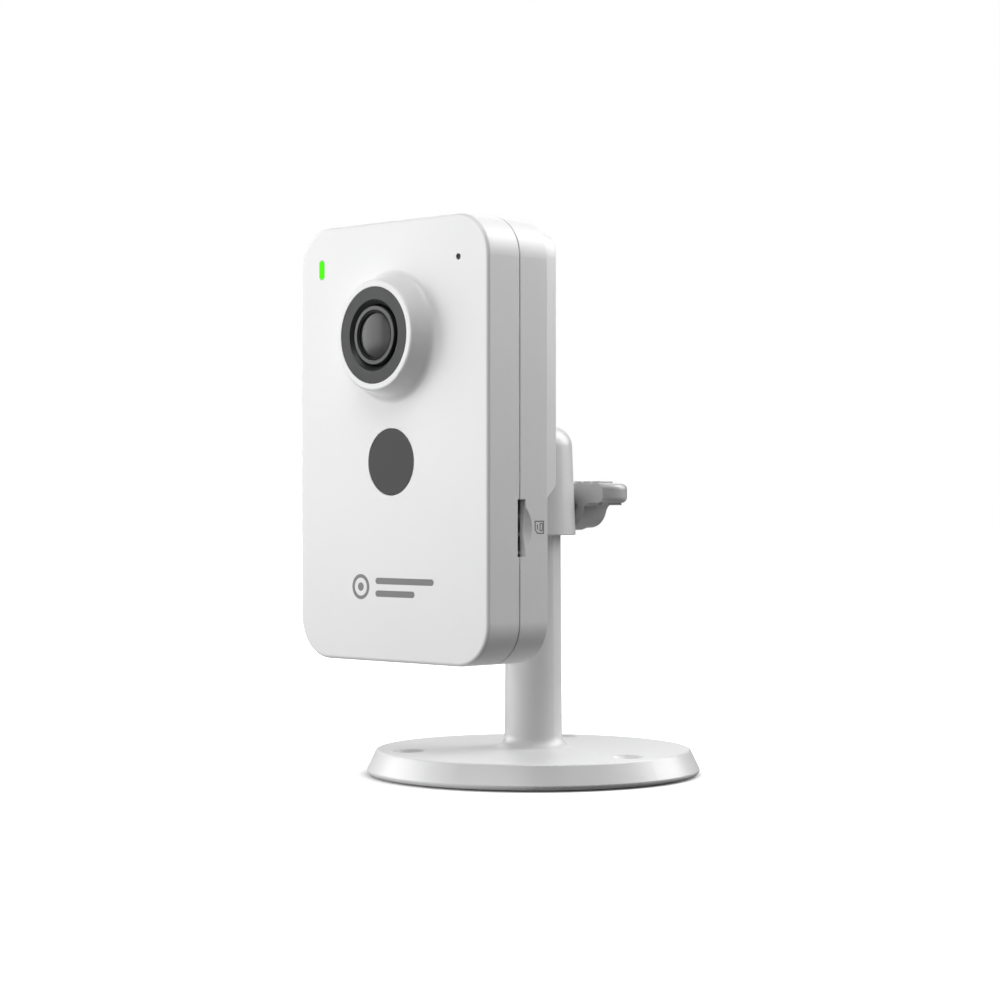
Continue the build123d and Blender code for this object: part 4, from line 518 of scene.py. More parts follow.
FINISHES: dict[Slot, Finish] = {
    Slot.CASE: Finish(
        "satin_white_plastic", (0.80, 0.80, 0.797), (0.785, 0.787, 0.79), (0.33, 0.35),
        grain=4200.0, grain_depth=0.0000008, edge=0.0002, worn=(0.9, 0.9, 0.895), wear=0.4,
        shine=0.6,
    ),
    Slot.STAND: Finish(
        "gloss_white_plastic", (0.76, 0.76, 0.757), (0.745, 0.747, 0.75), (0.32, 0.34),
        grain=3600.0, grain_depth=0.0000004, edge=0.0002, worn=(0.9, 0.9, 0.895), wear=0.4, shine=0.8,
    ),
    # The knob's grey is partly its own grey plastic and partly painted shade for the head's shadow that falls
    # on it.
    Slot.KNOB: Finish(
        "satin_knob_plastic", (0.52, 0.52, 0.52), (0.505, 0.507, 0.51), (0.28, 0.30), shine=0.8,
        grain=3400.0, grain_depth=0.000002, edge=0.0002, worn=(0.88, 0.88, 0.875), wear=0.5,
    ),
    Slot.TRIM: Finish(
        "dark_satin_trim", (0.032, 0.033, 0.034), (0.026, 0.027, 0.028), (0.34, 0.42),
        grain=5200.0, grain_depth=0.0000025, edge=0.00012, worn=(0.13, 0.13, 0.135), wear=0.5, shine=0.25,
    ),
    Slot.BARREL: Finish(
        "black_anodised_metal", (0.030, 0.031, 0.032), (0.024, 0.025, 0.026), (0.33, 0.42), shine=0.3,
        grain=6000.0, grain_depth=0.000002, edge=0.0001, worn=(0.2, 0.2, 0.205), wear=0.5,
    ),
    Slot.GLASS: ClearFinish(
        "coated_lens_glass", (0.93, 0.96, 0.97), (0.90, 0.93, 0.97), (0.01, 0.03),
        coat=1.0, grain=1500.0, grain_depth=0.0000001, edge=0.00006, worn=(0.95, 0.95, 0.95), wear=0.1,
    ),
    Slot.WINDOW: Finish(
        "dark_gloss_window", (0.010, 0.009, 0.010), (0.007, 0.006, 0.008), (0.05, 0.09),
        grain=900.0, grain_depth=0.0000002, edge=0.0001, worn=(0.09, 0.09, 0.09), wear=0.5, shine=0.22,
    ),
    Slot.LIGHT: LitFinish(
        "lit_green_plastic", (0.055, 0.80, 0.0), (0.045, 0.74, 0.0), (0.45, 0.55),
        grain=3000.0, grain_depth=0.000001, patch=400.0, worn=(0.2, 0.8, 0.1), glow=0.80, shine=0.03,
    ),
    Slot.STEEL: Finish(
        "plated_steel", (0.56, 0.56, 0.57), (0.48, 0.485, 0.50), (0.22, 0.38), metal=1.0,
        grain=5200.0, grain_depth=0.000002, stretch=(1.0, 1.0, 0.12), worn=(0.78, 0.78, 0.78), wear=0.7,
    ),
    Slot.BRASS: Finish(
        "turned_brass", (0.75, 0.52, 0.22), (0.66, 0.44, 0.18), (0.22, 0.34), metal=1.0,
        grain=5200.0, grain_depth=0.000003, stretch=(1.0, 0.1, 1.0), worn=(0.9, 0.7, 0.4), wear=0.7,
    ),
    Slot.NYLON: Finish(
        "natural_nylon", (0.74, 0.72, 0.66), (0.68, 0.66, 0.60), (0.38, 0.50),
        grain=2500.0, grain_depth=0.000004, worn=(0.82, 0.80, 0.76), wear=0.5,
    ),
    Slot.RUBBER: Finish(
        "soft_rubber", (0.050, 0.050, 0.052), (0.034, 0.034, 0.036), (0.62, 0.80),
        grain=2200.0, grain_depth=0.00001, worn=(0.10, 0.10, 0.10), wear=0.6,
    ),
    Slot.BOARD: TrackedFinish(
        "green_solder_mask", (0.010, 0.115, 0.042), (0.008, 0.095, 0.036), (0.22, 0.34),
        grain_depth=0.000012, coat=0.3, worn=(0.45, 0.42, 0.26), wear=0.8,
    ),
    Slot.CHIP: Finish(
        "moulded_black_epoxy", (0.030, 0.030, 0.031), (0.022, 0.022, 0.023), (0.45, 0.60),
        grain=5200.0, grain_depth=0.000005, worn=(0.08, 0.08, 0.08), wear=0.5,
    ),
    Slot.ALUMINIUM: Finish(
        "brushed_aluminium", (0.72, 0.73, 0.74), (0.64, 0.65, 0.665), (0.28, 0.42), metal=1.0,
        grain=5200.0, grain_depth=0.000004, stretch=(0.06, 1.0, 1.0), worn=(0.88, 0.88, 0.88), wear=0.7,
    ),
    Slot.COPPER: WoundFinish(
        "enamelled_copper_wire", (0.62, 0.25, 0.09), (0.50, 0.18, 0.06), (0.24, 0.36), metal=0.9,
        grain_depth=0.00006, worn=(0.8, 0.4, 0.2), wear=0.3,
    ),
    Slot.SENSOR: Finish(
        "dark_sensor_cover", (0.022, 0.020, 0.035), (0.014, 0.018, 0.024), (0.06, 0.12), coat=0.6,
        grain=1800.0, grain_depth=0.000001, patch=260.0, worn=(0.10, 0.10, 0.12), wear=0.5,
    ),
    Slot.DAY_PANE: ClearFinish(
        "blue_green_pane", (0.45, 0.86, 0.84), (0.40, 0.80, 0.80), (0.02, 0.05), coat=0.8,
        grain=1200.0, grain_depth=0.0000002, edge=0.00006, worn=(0.8, 0.95, 0.95), wear=0.3,
    ),
    Slot.NIGHT_PANE: ClearFinish(
        "clear_pane", (0.96, 0.96, 0.93), (0.94, 0.94, 0.90), (0.02, 0.05), coat=0.8,
        grain=1200.0, grain_depth=0.0000002, edge=0.00006, worn=(0.98, 0.98, 0.96), wear=0.3,
    ),
    Slot.FLEX: TrackedFinish(
        "amber_film", (0.52, 0.22, 0.03), (0.45, 0.18, 0.025), (0.20, 0.32), cells=700.0,
        track=(0.62, 0.30, 0.06), grain_depth=0.000006, coat=0.4, worn=(0.7, 0.45, 0.2), wear=0.4,
    ),
    Slot.CARD: Finish(
        "black_card_plastic", (0.028, 0.028, 0.030), (0.020, 0.020, 0.022), (0.36, 0.50),
        grain=5200.0, grain_depth=0.000004, worn=(0.12, 0.12, 0.12), wear=0.6,
    ),
    Slot.LABEL: Finish(
        "silver_label_film", (0.66, 0.665, 0.67), (0.61, 0.615, 0.625), (0.30, 0.40), metal=0.35,
        grain=4200.0, grain_depth=0.000002, stretch=(0.1, 1.0, 1.0), worn=(0.8, 0.8, 0.8), wear=0.5,
    ),
    Slot.THERMAL: Finish(
        "thermal_putty", (0.36, 0.38, 0.42), (0.31, 0.33, 0.37), (0.60, 0.78),
        grain=1600.0, grain_depth=0.000012, worn=(0.45, 0.47, 0.5), wear=0.3,
    ),
}
MARK_INK = Finish(
    "grey_mark_ink", (0.185, 0.185, 0.19), (0.16, 0.16, 0.165), (0.38, 0.48),
    grain=6000.0, grain_depth=0.000002, edge=0.00002, worn=(0.4, 0.4, 0.4), wear=0.4,
)
FINE_INK = Finish(
    "grey_fine_ink", (0.10, 0.10, 0.105), (0.085, 0.085, 0.09), (0.40, 0.50),
    grain=6000.0, grain_depth=0.000002, edge=0.00002, worn=(0.3, 0.3, 0.3), wear=0.4,
)
GOLD = Finish(
    "gold_plating", (0.83, 0.60, 0.24), (0.76, 0.53, 0.20), (0.20, 0.30), metal=1.0,
    grain=5200.0, grain_depth=0.000001, edge=0.00004, worn=(0.9, 0.75, 0.45), wear=0.5,
)
TAN_CERAMIC = Finish(
    "tan_ceramic", (0.42, 0.29, 0.17), (0.36, 0.25, 0.15), (0.35, 0.48),
    grain=5000.0, grain_depth=0.000003, edge=0.00006, worn=(0.6, 0.5, 0.4), wear=0.4,
)
CONE_FIBRE = WovenFinish(
    "speaker_cone_fibre", (0.045, 0.045, 0.048), (0.032, 0.032, 0.034), (0.55, 0.70),
    grain_depth=0.00003, edge=0.0001, worn=(0.1, 0.1, 0.1), wear=0.4,
)


class Palette:
    """Keeps one material for each finish and puts them on nodes and pieces."""

    def __init__(self, packed: dict) -> None:
        """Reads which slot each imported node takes.
        """
        self.nodes = packed["nodes"]
        self.slots = {row["node"]: Slot(row["material_slot"]) for row in packed["record"]["subparts"]}
        self.made: dict[Finish, bpy.types.Material] = {}

    def material(self, finish: Finish) -> bpy.types.Material:
        """The finish's material, made once.

        Args:
            finish: The finish.

        Returns:
            Its material.
        """
        if finish not in self.made:
            self.made[finish] = finish.made()
        return self.made[finish]

    def dress(self, node: str, finish: Finish | None = None) -> bpy.types.Object:
        """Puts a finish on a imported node.

        Args:
            node: The node's name.
            finish: The finish, or None for its slot's own.

        Returns:
            The node's object.
        """
        piece = self.nodes[node]
        coat = self.material(finish or FINISHES[self.slots[node]])
        if not piece.material_slots:
            piece.data.materials.append(coat)
        for place in piece.material_slots:
            place.material = coat
        return piece


# ------------------------------------------------------------------- shaping
def circle(radius: float, middle: Point = (0.0, 0.0), steps: int = 48) -> list[Point]:
    """Points round a circle.

    Args:
        radius: The radius in millimetres.
        middle: The middle.
        steps: How many points.

    Returns:
        The points, counter-clockwise.
    """
    turns = (2 * math.pi * i / steps for i in range(steps))
    return [(middle[0] + radius * math.cos(t), middle[1] + radius * math.sin(t)) for t in turns]


def rounded_box(
    width: float, height: float, corner: float, middle: Point = (0.0, 0.0), steps: int = 6
) -> list[Point]:
    """Points round a rectangle with round corners.

    Args:
        width: The width in millimetres.
        height: The height.
        corner: The corner radius.
        middle: The middle.
        steps: Steps in each corner.

    Returns:
        The points, counter-clockwise.
    """
    points = []
    for quarter, (sx, sy) in enumerate(((1, 1), (-1, 1), (-1, -1), (1, -1))):
        x = middle[0] + sx * (width / 2 - corner)
        y = middle[1] + sy * (height / 2 - corner)
        for i in range(steps + 1):
            turn = math.pi / 2 * (quarter + i / steps)
            points.append((x + corner * math.cos(turn), y + corner * math.sin(turn)))
    return points


class Former:
    """Builds one piece out of drawn-out, turned and moulded shapes, in millimetres."""

    def __init__(self, name: str) -> None:
        """Starts a piece.

        Args:
            name: The piece's name.
        """
        self.name = name
        self.mesh = bmesh.new()

    def _rows(self, rows: Sequence[Sequence[Vector]], closed: bool) -> None:
        """Skins rows of points, each row a closed loop.

        Args:
            rows: The rows, all of one length.
            closed: Whether the last row joins the first, else both ends are capped.
        """
        loops = [[self.mesh.verts.new(point) for point in row] for row in rows]
        count = len(loops[0])
        pairs = list(zip(loops, loops[1:] + loops[:1])) if closed else list(zip(loops, loops[1:]))
        for low, high in pairs:
            for i in range(count):
                j = (i + 1) % count
                self.mesh.faces.new((low[i], low[j], high[j], high[i]))
        if not closed:
            self.mesh.faces.new(list(reversed(loops[0])))
            self.mesh.faces.new(loops[-1])

    def prism(self, outline: Sequence[Point], low: float, high: float, axis: Axis = Axis.Y) -> "Former":
        """Draws an outline out along an axis.

        Args:
            outline: The outline's points.
            low: Where it starts.
            high: Where it ends.
            axis: The direction.

        Returns:
            This piece.
        """
        self._rows([[axis.point(u, v, along) for u, v in outline] for along in (low, high)], False)
        return self

    def band(
        self, outer: Sequence[Point], inner: Sequence[Point], low: float, high: float, axis: Axis = Axis.Y
    ) -> "Former":
        """Draws out the strip between two outlines.

        Args:
            outer: The outer outline's points.
            inner: As many points of the inner outline.
            low: Where it starts.
            high: Where it ends.
            axis: The direction.

        Returns:
            This piece.
        """
        order = ((outer, low), (outer, high), (inner, high), (inner, low))
        self._rows([[axis.point(u, v, along) for u, v in loop] for loop, along in order], True)
        return self

    def turned(
        self, profile: Sequence[Point], middle: Point, axis: Axis = Axis.Y, steps: int = 64,
        ring: bool = False,
    ) -> "Former":
        """Turns a profile round an axis.

        Args:
            profile: Points of radius and place along the axis.
            middle: The axis, across and up.
            axis: The axis's direction.
            steps: Steps round the circle.
            ring: Whether the profile is closed, as in a ring, else its ends are capped.

        Returns:
            This piece.
        """
        rows = []
        for radius, along in profile:
            rows.append([axis.point(u, v, along) for u, v in circle(max(radius, 0.01), middle, steps)])
        self._rows(rows, ring)
        return self

    def brick(self, low: Place, high: Place, soft: float = 0.08) -> "Former":
        """A block with small rounded edges.

        Args:
            low: The lowest corner.
            high: The highest corner.
            soft: The edges' radius.

        Returns:
            This piece.
        """
        block = bmesh.new()
        bmesh.ops.create_cube(block, size=1.0)
        size = [(high[i] - low[i]) * MM for i in range(3)]
        middle = [(high[i] + low[i]) / 2 * MM for i in range(3)]
        bmesh.ops.transform(block, matrix=Matrix.LocRotScale(middle, None, size), verts=block.verts)
        bmesh.ops.bevel(block, geom=block.edges[:], offset=soft * MM, segments=2, affect="EDGES", profile=0.5)
        copies = {v: self.mesh.verts.new(v.co) for v in block.verts}
        for face in block.faces:
            self.mesh.faces.new([copies[v] for v in face.verts])
        block.free()
        return self

    def shown(
        self, body: str, slot: Slot, material: bpy.types.Material, smooth: float = 35.0
    ) -> bpy.types.Object:
        """Finishes the piece and lets it ride on a body.

        Args:
            body: The body's name.
            slot: The record slot meant for the piece; not used.
            material: Its material.
            smooth: Edges sharper than this many degrees stay sharp.

        Returns:
            The piece's object.
        """
        bmesh.ops.recalc_face_normals(self.mesh, faces=self.mesh.faces[:])
        data = bpy.data.meshes.new(self.name)
        self.mesh.to_mesh(data)
        self.mesh.free()
        for face in data.polygons:
            face.use_smooth = True
        data.set_sharp_from_angle(angle=math.radians(smooth))
        data.materials.append(material)
        piece = bpy.data.objects.new(self.name, data)
        bpy.context.scene.collection.objects.link(piece)
        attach(piece, body)
        return piece


def low_mm(node: str) -> Vector:
    """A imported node's lowest corner in millimetres."""
    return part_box(node)[0] / MM


def high_mm(node: str) -> Vector:
    """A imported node's highest corner in millimetres."""
    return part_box(node)[1] / MM


# -------------------------------------------------------------- sub-assemblies
@dataclass
class Assembly:
    """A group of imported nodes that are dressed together, with the pieces added to them."""

    palette: Palette
    nodes: ClassVar[tuple[str, ...]] = ()

    def finishes(self) -> dict[str, Finish]:
        """Nodes whose finish isn't their slot's own."""
        return {}

    def pieces(self) -> Iterable[bpy.types.Object]:
        """Makes the added pieces; a plain group has none."""
        return ()

    def build(self) -> None:
        """Dresses the nodes, makes the pieces and reports each."""
        special = self.finishes()
        group = type(self).__name__
        for node in self.nodes:
            LOG.info("%s: dressed %s", group, self.palette.dress(node, special.get(node)).name)
        for piece in self.pieces():
            LOG.info("%s: added %s", group, piece.name)

    def material(self, finish: Finish | Slot) -> bpy.types.Material:
        """The material of a finish or of a slot's own finish."""
        return self.palette.material(FINISHES[finish] if isinstance(finish, Slot) else finish)


@dataclass
class Stand(Assembly):
    """The weighted foot and the pole."""

    nodes: ClassVar[tuple[str, ...]] = ("stand_base", "ballast_plate", "foot_pad")


@dataclass
class SwivelClamp(Assembly):
    """The cap that turns on the pole, and the knob and brake that lock it."""

    bolt_radius: float = 2.05
    bolt_pitch: float = 0.7
    clamp_height: float = 66.6

    nodes: ClassVar[tuple[str, ...]] = (
        "swivel_housing", "thrust_washer", "threaded_insert", "brake_pad", "clamp_bolt", "clamp_knob",
    )

    def finishes(self) -> dict[str, Finish]:
        """The bolt's shank is threaded."""
        middle = (0.0, self.clamp_height)
        thread = ThreadedFinish.over(
            FINISHES[Slot.STEEL], "threaded_bolt_steel", 0.0004, middle, self.bolt_radius, self.bolt_pitch
        )
        return {"clamp_bolt": thread}


@dataclass
class TiltHinge(Assembly):
    """The hinge behind the head."""

    pivot: Point = (-16.0, 80.5)
    screw_radius: float = 1.55
    screw_pitch: float = 0.5

    nodes: ClassVar[tuple[str, ...]] = (
        "tilt_bracket", "bracket_screws", "tilt_screw", "tilt_nut", "tilt_washers",
    )

    def finishes(self) -> dict[str, Finish]:
        """The hinge screw's shank is threaded."""
        thread = ThreadedFinish.over(
            FINISHES[Slot.STEEL], "threaded_hinge_steel", 0.0003, self.pivot, self.screw_radius,
            self.screw_pitch, Axis.X,
        )
        return {"tilt_screw": thread}


@dataclass
class HeadShell(Assembly):
    """The two covers of the head, with the mark on its front."""

    face: float = -48.0
    mark_left: float = -10.6
    mark_height: float = 47.4
    ring_radius: float = 3.0
    ring_line: float = 0.85
    dot_radius: float = 1.0
    bar_height: float = 1.5
    bar_gap: float = 1.5
    bar_start: float = -5.4
    bar_lengths: tuple[float, ...] = (20.0, 13.5)
    ink: float = 0.03

    nodes: ClassVar[tuple[str, ...]] = ("front_cover", "rear_cover", "case_screws")

    def pieces(self) -> Iterable[bpy.types.Object]:
        """A printed mark of a ring, a dot and two bars."""
        low, high = self.face - self.ink, self.face + self.ink
        mark = Former("front_mark")
        middle = (self.mark_left, self.mark_height)
        outer = circle(self.ring_radius, middle)
        mark.band(outer, circle(self.ring_radius - self.ring_line, middle), low, high)
        mark.prism(circle(self.dot_radius, middle), low, high)
        pitch = (self.bar_height + self.bar_gap) / 2
        for length, rise in zip(self.bar_lengths, (pitch, -pitch)):
            place = (self.bar_start + length / 2, self.mark_height + rise)
            bar = rounded_box(length, self.bar_height, self.bar_height / 2 - 0.01, place)
            mark.prism(bar, low, high)
        yield mark.shown("head", Slot.CASE, self.material(MARK_INK))


@dataclass
class LensUnit(Assembly):
    """Trim ring, barrel, glass and the iris between the inner glasses."""

    axis_height: float = 106.6
    barrel_pitch: float = 0.5
    barrel_body: float = 6.1
    iris_radius: float = 2.85
    iris_hole: float = 1.1
    iris_thickness: float = 0.04

    nodes: ClassVar[tuple[str, ...]] = (
        "lens_trim_ring", "lens_barrel", "lens_retaining_ring", "front_lens_element", "lens_spacers",
        "middle_lens_element", "rear_lens_element",
    )

    def finishes(self) -> dict[str, Finish]:
        """The barrel's body is threaded, the ring round the glass is matt black, and the front glass is
        tinted dark as painted shade.
        """
        threaded = ThreadedFinish.over(
            FINISHES[Slot.BARREL], "threaded_black_metal", 0.0002, (0.0, self.axis_height), self.barrel_body,
            self.barrel_pitch,
        )
        matt = Finish(
            "matt_black_ring", (0.006, 0.006, 0.0065), (0.004, 0.004, 0.005), (0.45, 0.58), shine=0.1,
            grain=6000.0, grain_depth=0.000003, edge=0.0001, worn=(0.06, 0.06, 0.06), wear=0.4,
        )
        # Painted shade: the front glass is tinted nearly black and only partly clear, so the lens's inside
        # looks dim.
        darkened_glass = ClearFinish(
            "front_glass_painted_dark", (0.055, 0.056, 0.058), (0.045, 0.046, 0.050), (0.22, 0.26), shine=0.20,
            grain=1500.0, grain_depth=0.0000001, edge=0.00006, worn=(0.2, 0.2, 0.2), wear=0.1, clearness=0.45,
        )
        return {
            "lens_barrel": threaded, "lens_retaining_ring": matt, "lens_spacers": matt,
            "front_lens_element": darkened_glass,
        }

    def pieces(self) -> Iterable[bpy.types.Object]:
        """A thin iris with a hole."""
        middle = (0.0, self.axis_height)
        half = self.iris_thickness / 2
        place = (high_mm("middle_lens_element").y + low_mm("rear_lens_element").y) / 2
        low, high = place - half, place + half
        outer, inner = self.iris_radius, self.iris_hole
        profile = ((outer, low), (outer, high), (inner, high), (inner, low))
        iris = Former("lens_iris").turned(profile, middle, steps=72, ring=True)
        yield iris.shown("head", Slot.BARREL, self.material(Slot.BARREL))


@dataclass
class DayFilter(Assembly):
    """Lens holder, sliding filter, coil and image sensor."""

    sensor_field: Point = (4.8, 3.6)
    bond_count: int = 14
    bond_pitch: float = 0.3
    bond_gap: float = 0.55
    bond_size: Point = (0.34, 0.16)
    layer: float = 0.02

    nodes: ClassVar[tuple[str, ...]] = (
        "lens_holder", "lens_holder_screws", "ir_cut_frame", "ir_cut_filter", "clear_filter", "ir_cut_coil",
        "image_sensor",
    )

    def pieces(self) -> Iterable[bpy.types.Object]:
        """The sensor's light field with its gold pads."""
        low, high = low_mm("image_sensor"), high_mm("image_sensor")
        middle = ((low.x + high.x) / 2, (low.z + high.z) / 2)
        field = Former("sensor_field")
        field.prism(rounded_box(*self.sensor_field, 0.1, middle), low.y - self.layer, low.y + self.layer)
        yield field.shown("head", Slot.SENSOR, self.material(Slot.SENSOR))
        pads = Former("sensor_pads")
        for side in (-1, 1):
            for i in range(self.bond_count):
                x = middle[0] + side * (self.sensor_field[0] / 2 + self.bond_gap)
                z = middle[1] + (i - (self.bond_count - 1) / 2) * self.bond_pitch
                pad = rounded_box(*self.bond_size, 0.04, (x, z), 2)
                pads.prism(pad, low.y - self.layer, low.y + self.layer)
        yield pads.shown("head", Slot.BRASS, self.material(GOLD))


@dataclass
class NightWindow(Assembly):
    """The dark pane with the small board behind it."""

    first_part: float = -8.4
    part_pitch: float = 1.5
    part_count: int = 4
    part_drop: float = 4.2
    part_half: Point = (0.32, 0.5)
    part_height: float = 0.4
    cap_half: Point = (0.36, 0.2)
    cap_reach: float = 0.72
    cap_height: float = 0.3
    nodes: ClassVar[tuple[str, ...]] = ("dark_window", "window_board", "infrared_led", "light_sensor")

    def pieces(self) -> Iterable[bpy.types.Object]:
        """Resistors and their solder beside the infrared light."""
        front = low_mm("window_board").y
        height = (low_mm("window_board").z + high_mm("window_board").z) / 2
        bodies = Former("window_board_resistors")
        caps = Former("window_board_solder")
        (wide, tall), (cap_wide, cap_tall) = self.part_half, self.cap_half
        for i in range(self.part_count):
            x, z = self.first_part + self.part_pitch * i, height - self.part_drop
            bodies.brick((x - wide, front - self.part_height, z - tall), (x + wide, front, z + tall))
            for end in (-1, 1):
                start = (x - cap_wide, front - self.cap_height, z + end * self.cap_reach - cap_tall)
                caps.brick(start, (x + cap_wide, front, z + end * self.cap_reach + cap_tall), 0.1)
        yield bodies.shown("head", Slot.CHIP, self.material(Slot.CHIP))
        yield caps.shown("head", Slot.STEEL, self.material(Slot.STEEL))


@dataclass
class StatusLight(Assembly):
    """The green light pipe, the light source behind it and the seal round its face."""

    place: Point = (-24.7, 123.7)
    width: float = 1.7
    height: float = 4.5
    seal: float = 0.12
    seal_proud: float = 0.012
    seal_depth: float = 0.05
    nodes: ClassVar[tuple[str, ...]] = ("status_light_pipe", "status_led")

    def pieces(self) -> Iterable[bpy.types.Object]:
        """A thin dark seal between the pipe and the face."""
        face = low_mm("status_light_pipe").y
        width, height = self.width + 2 * self.seal, self.height + 2 * self.seal
        outer = rounded_box(width, height, width / 2 - 0.001, self.place, 12)
        inner = rounded_box(self.width, self.height, self.width / 2 - 0.001, self.place, 12)
        seal = Former("status_light_seal")
        seal.band(outer, inner, face - self.seal_proud, face + self.seal_depth)
        yield seal.shown("head", Slot.RUBBER, self.material(FINE_INK))


@dataclass
class HearingPort(Assembly):
    """The microphone behind its small front hole, with a fine dark mesh in the hole."""

    place: Point = (22.8, 123.8)
    hole: float = 0.74
    sunk: float = 0.3
    mesh: float = 0.12

    nodes: ClassVar[tuple[str, ...]] = ("microphone", "microphone_boot")

    def pieces(self) -> Iterable[bpy.types.Object]:
        """The mesh, a little under the front face."""
        start = low_mm("status_light_pipe").y + self.sunk
        profile = ((self.hole * 0.5, start + 0.02), (self.hole, start), (self.hole, start + self.mesh))
        mesh = Former("microphone_mesh").turned(profile, self.place, steps=32)
        yield mesh.shown("head", Slot.RUBBER, self.material(CONE_FIBRE))


@dataclass
class CardSlot(Assembly):
    """The memory card, its socket and the card outline printed beside the slot."""

    side: float = 32.5
    sign_low: Point = (-32.85, 60.25)
    sign_high: Point = (-29.85, 63.25)
    sign_cut: float = 0.85
    sign_line: float = 0.22
    ink: float = 0.03
    bar: Point = (0.22, 1.2)
    bar_place: Point = (0.85, 1.55)
    chip: Point = (0.95, 1.85)
    chip_place: Point = (2.1, 1.55)
    chip_line: float = 0.21
    contact_count: int = 8
    contact_pitch: float = 1.1
    contact: Point = (3.2, 0.78)
    contact_start: float = 0.9

    nodes: ClassVar[tuple[str, ...]] = ("card_socket", "memory_card")

    def sign_outline(self, inset: float) -> list[Point]:
        """The printed card's outline.

        Args:
            inset: How far inside the outer line.

        Returns:
            Its corners, across and up.
        """
        (left, low), (right, high) = self.sign_low, self.sign_high
        cut = self.sign_cut - inset * (2 - math.sqrt(2))
        left, low, right, high = left + inset, low + inset, right - inset, high - inset
        return [(left + cut, low), (right, low), (right, high), (left, high), (left, low + cut)]

    def pieces(self) -> Iterable[bpy.types.Object]:
        """The printed outline, and the card's gold contacts."""
        low, high = self.side - self.ink, self.side + self.ink
        sign = Former("card_sign")
        sign.band(self.sign_outline(0.0), self.sign_outline(self.sign_line), low, high, Axis.X)
        left, foot = self.sign_low
        bar_middle = (left + self.bar_place[0], foot + self.bar_place[1])
        sign.prism(rounded_box(*self.bar, 0.06, bar_middle, 2), low, high, Axis.X)
        chip_middle = (left + self.chip_place[0], foot + self.chip_place[1])
        inner = (self.chip[0] - 2 * self.chip_line, self.chip[1] - 2 * self.chip_line)
        chip = rounded_box(*self.chip, 0.12, chip_middle, 3)
        sign.band(chip, rounded_box(*inner, 0.06, chip_middle, 3), low, high, Axis.X)
        yield sign.shown("head", Slot.CASE, self.material(FINE_INK))
        back = high_mm("memory_card").y
        start = low_mm("memory_card").x
        middle = (low_mm("memory_card").z + high_mm("memory_card").z) / 2
        contacts = Former("card_contacts")
        for i in range(self.contact_count):
            z = middle + (i - (self.contact_count - 1) / 2) * self.contact_pitch
            place = (start + self.contact_start + self.contact[0] / 2, z)
            contacts.prism(rounded_box(*self.contact, 0.2, place, 3), back - 0.03, back + 0.02)
        yield contacts.shown("card", Slot.BRASS, self.material(GOLD))


@dataclass
class RearFace(Assembly):
    """Power inlet, reset button and blank label at the back."""

    line: float = 0.18
    field_count: int = 3
    border: float = 2.0
    corner: float = 0.5
    layer: float = 0.02
    pin_count: int = 5
    pin_pitch: float = 0.8
    pin_half: float = 0.2
    pin_start: float = 0.3
    pin_end: float = 0.4
    pin_proud: float = 0.05

    nodes: ClassVar[tuple[str, ...]] = (
        "usb_power_socket", "usb_contact_tongue", "reset_switch", "reset_button", "rating_label",
    )

    def pieces(self) -> Iterable[bpy.types.Object]:
        """The label's printed frame with empty fields, and the inlet's contacts."""
        low, high = low_mm("rating_label"), high_mm("rating_label")
        middle = ((low.x + high.x) / 2, (low.z + high.z) / 2)
        width, height = high.x - low.x - self.border, high.z - low.z - self.border
        start, end = high.y - self.layer, high.y + self.layer
        outer = rounded_box(width, height, self.corner, middle)
        inner = rounded_box(width - 2 * self.line, height - 2 * self.line, self.corner - self.line, middle)
        fields = Former("label_fields").band(outer, inner, start, end)
        for i in range(self.field_count):
            z = middle[1] + height / 2 - (i + 1) * height / (self.field_count + 1)
            fields.prism(rounded_box(width - 2.4, self.line, 0.05, (middle[0], z), 2), start, end)
        yield fields.shown("head", Slot.LABEL, self.material(FINE_INK))
        low, high = low_mm("usb_contact_tongue"), high_mm("usb_contact_tongue")
        contacts = Former("inlet_contacts")
        for i in range(self.pin_count):
            x = (low.x + high.x) / 2 + (i - (self.pin_count - 1) / 2) * self.pin_pitch
            contacts.brick(
                (x - self.pin_half, low.y + self.pin_start, high.z - self.layer),
                (x + self.pin_half, high.y - self.pin_end, high.z + self.pin_proud), 0.02,
            )
        yield contacts.shown("head", Slot.BRASS, self.material(GOLD))


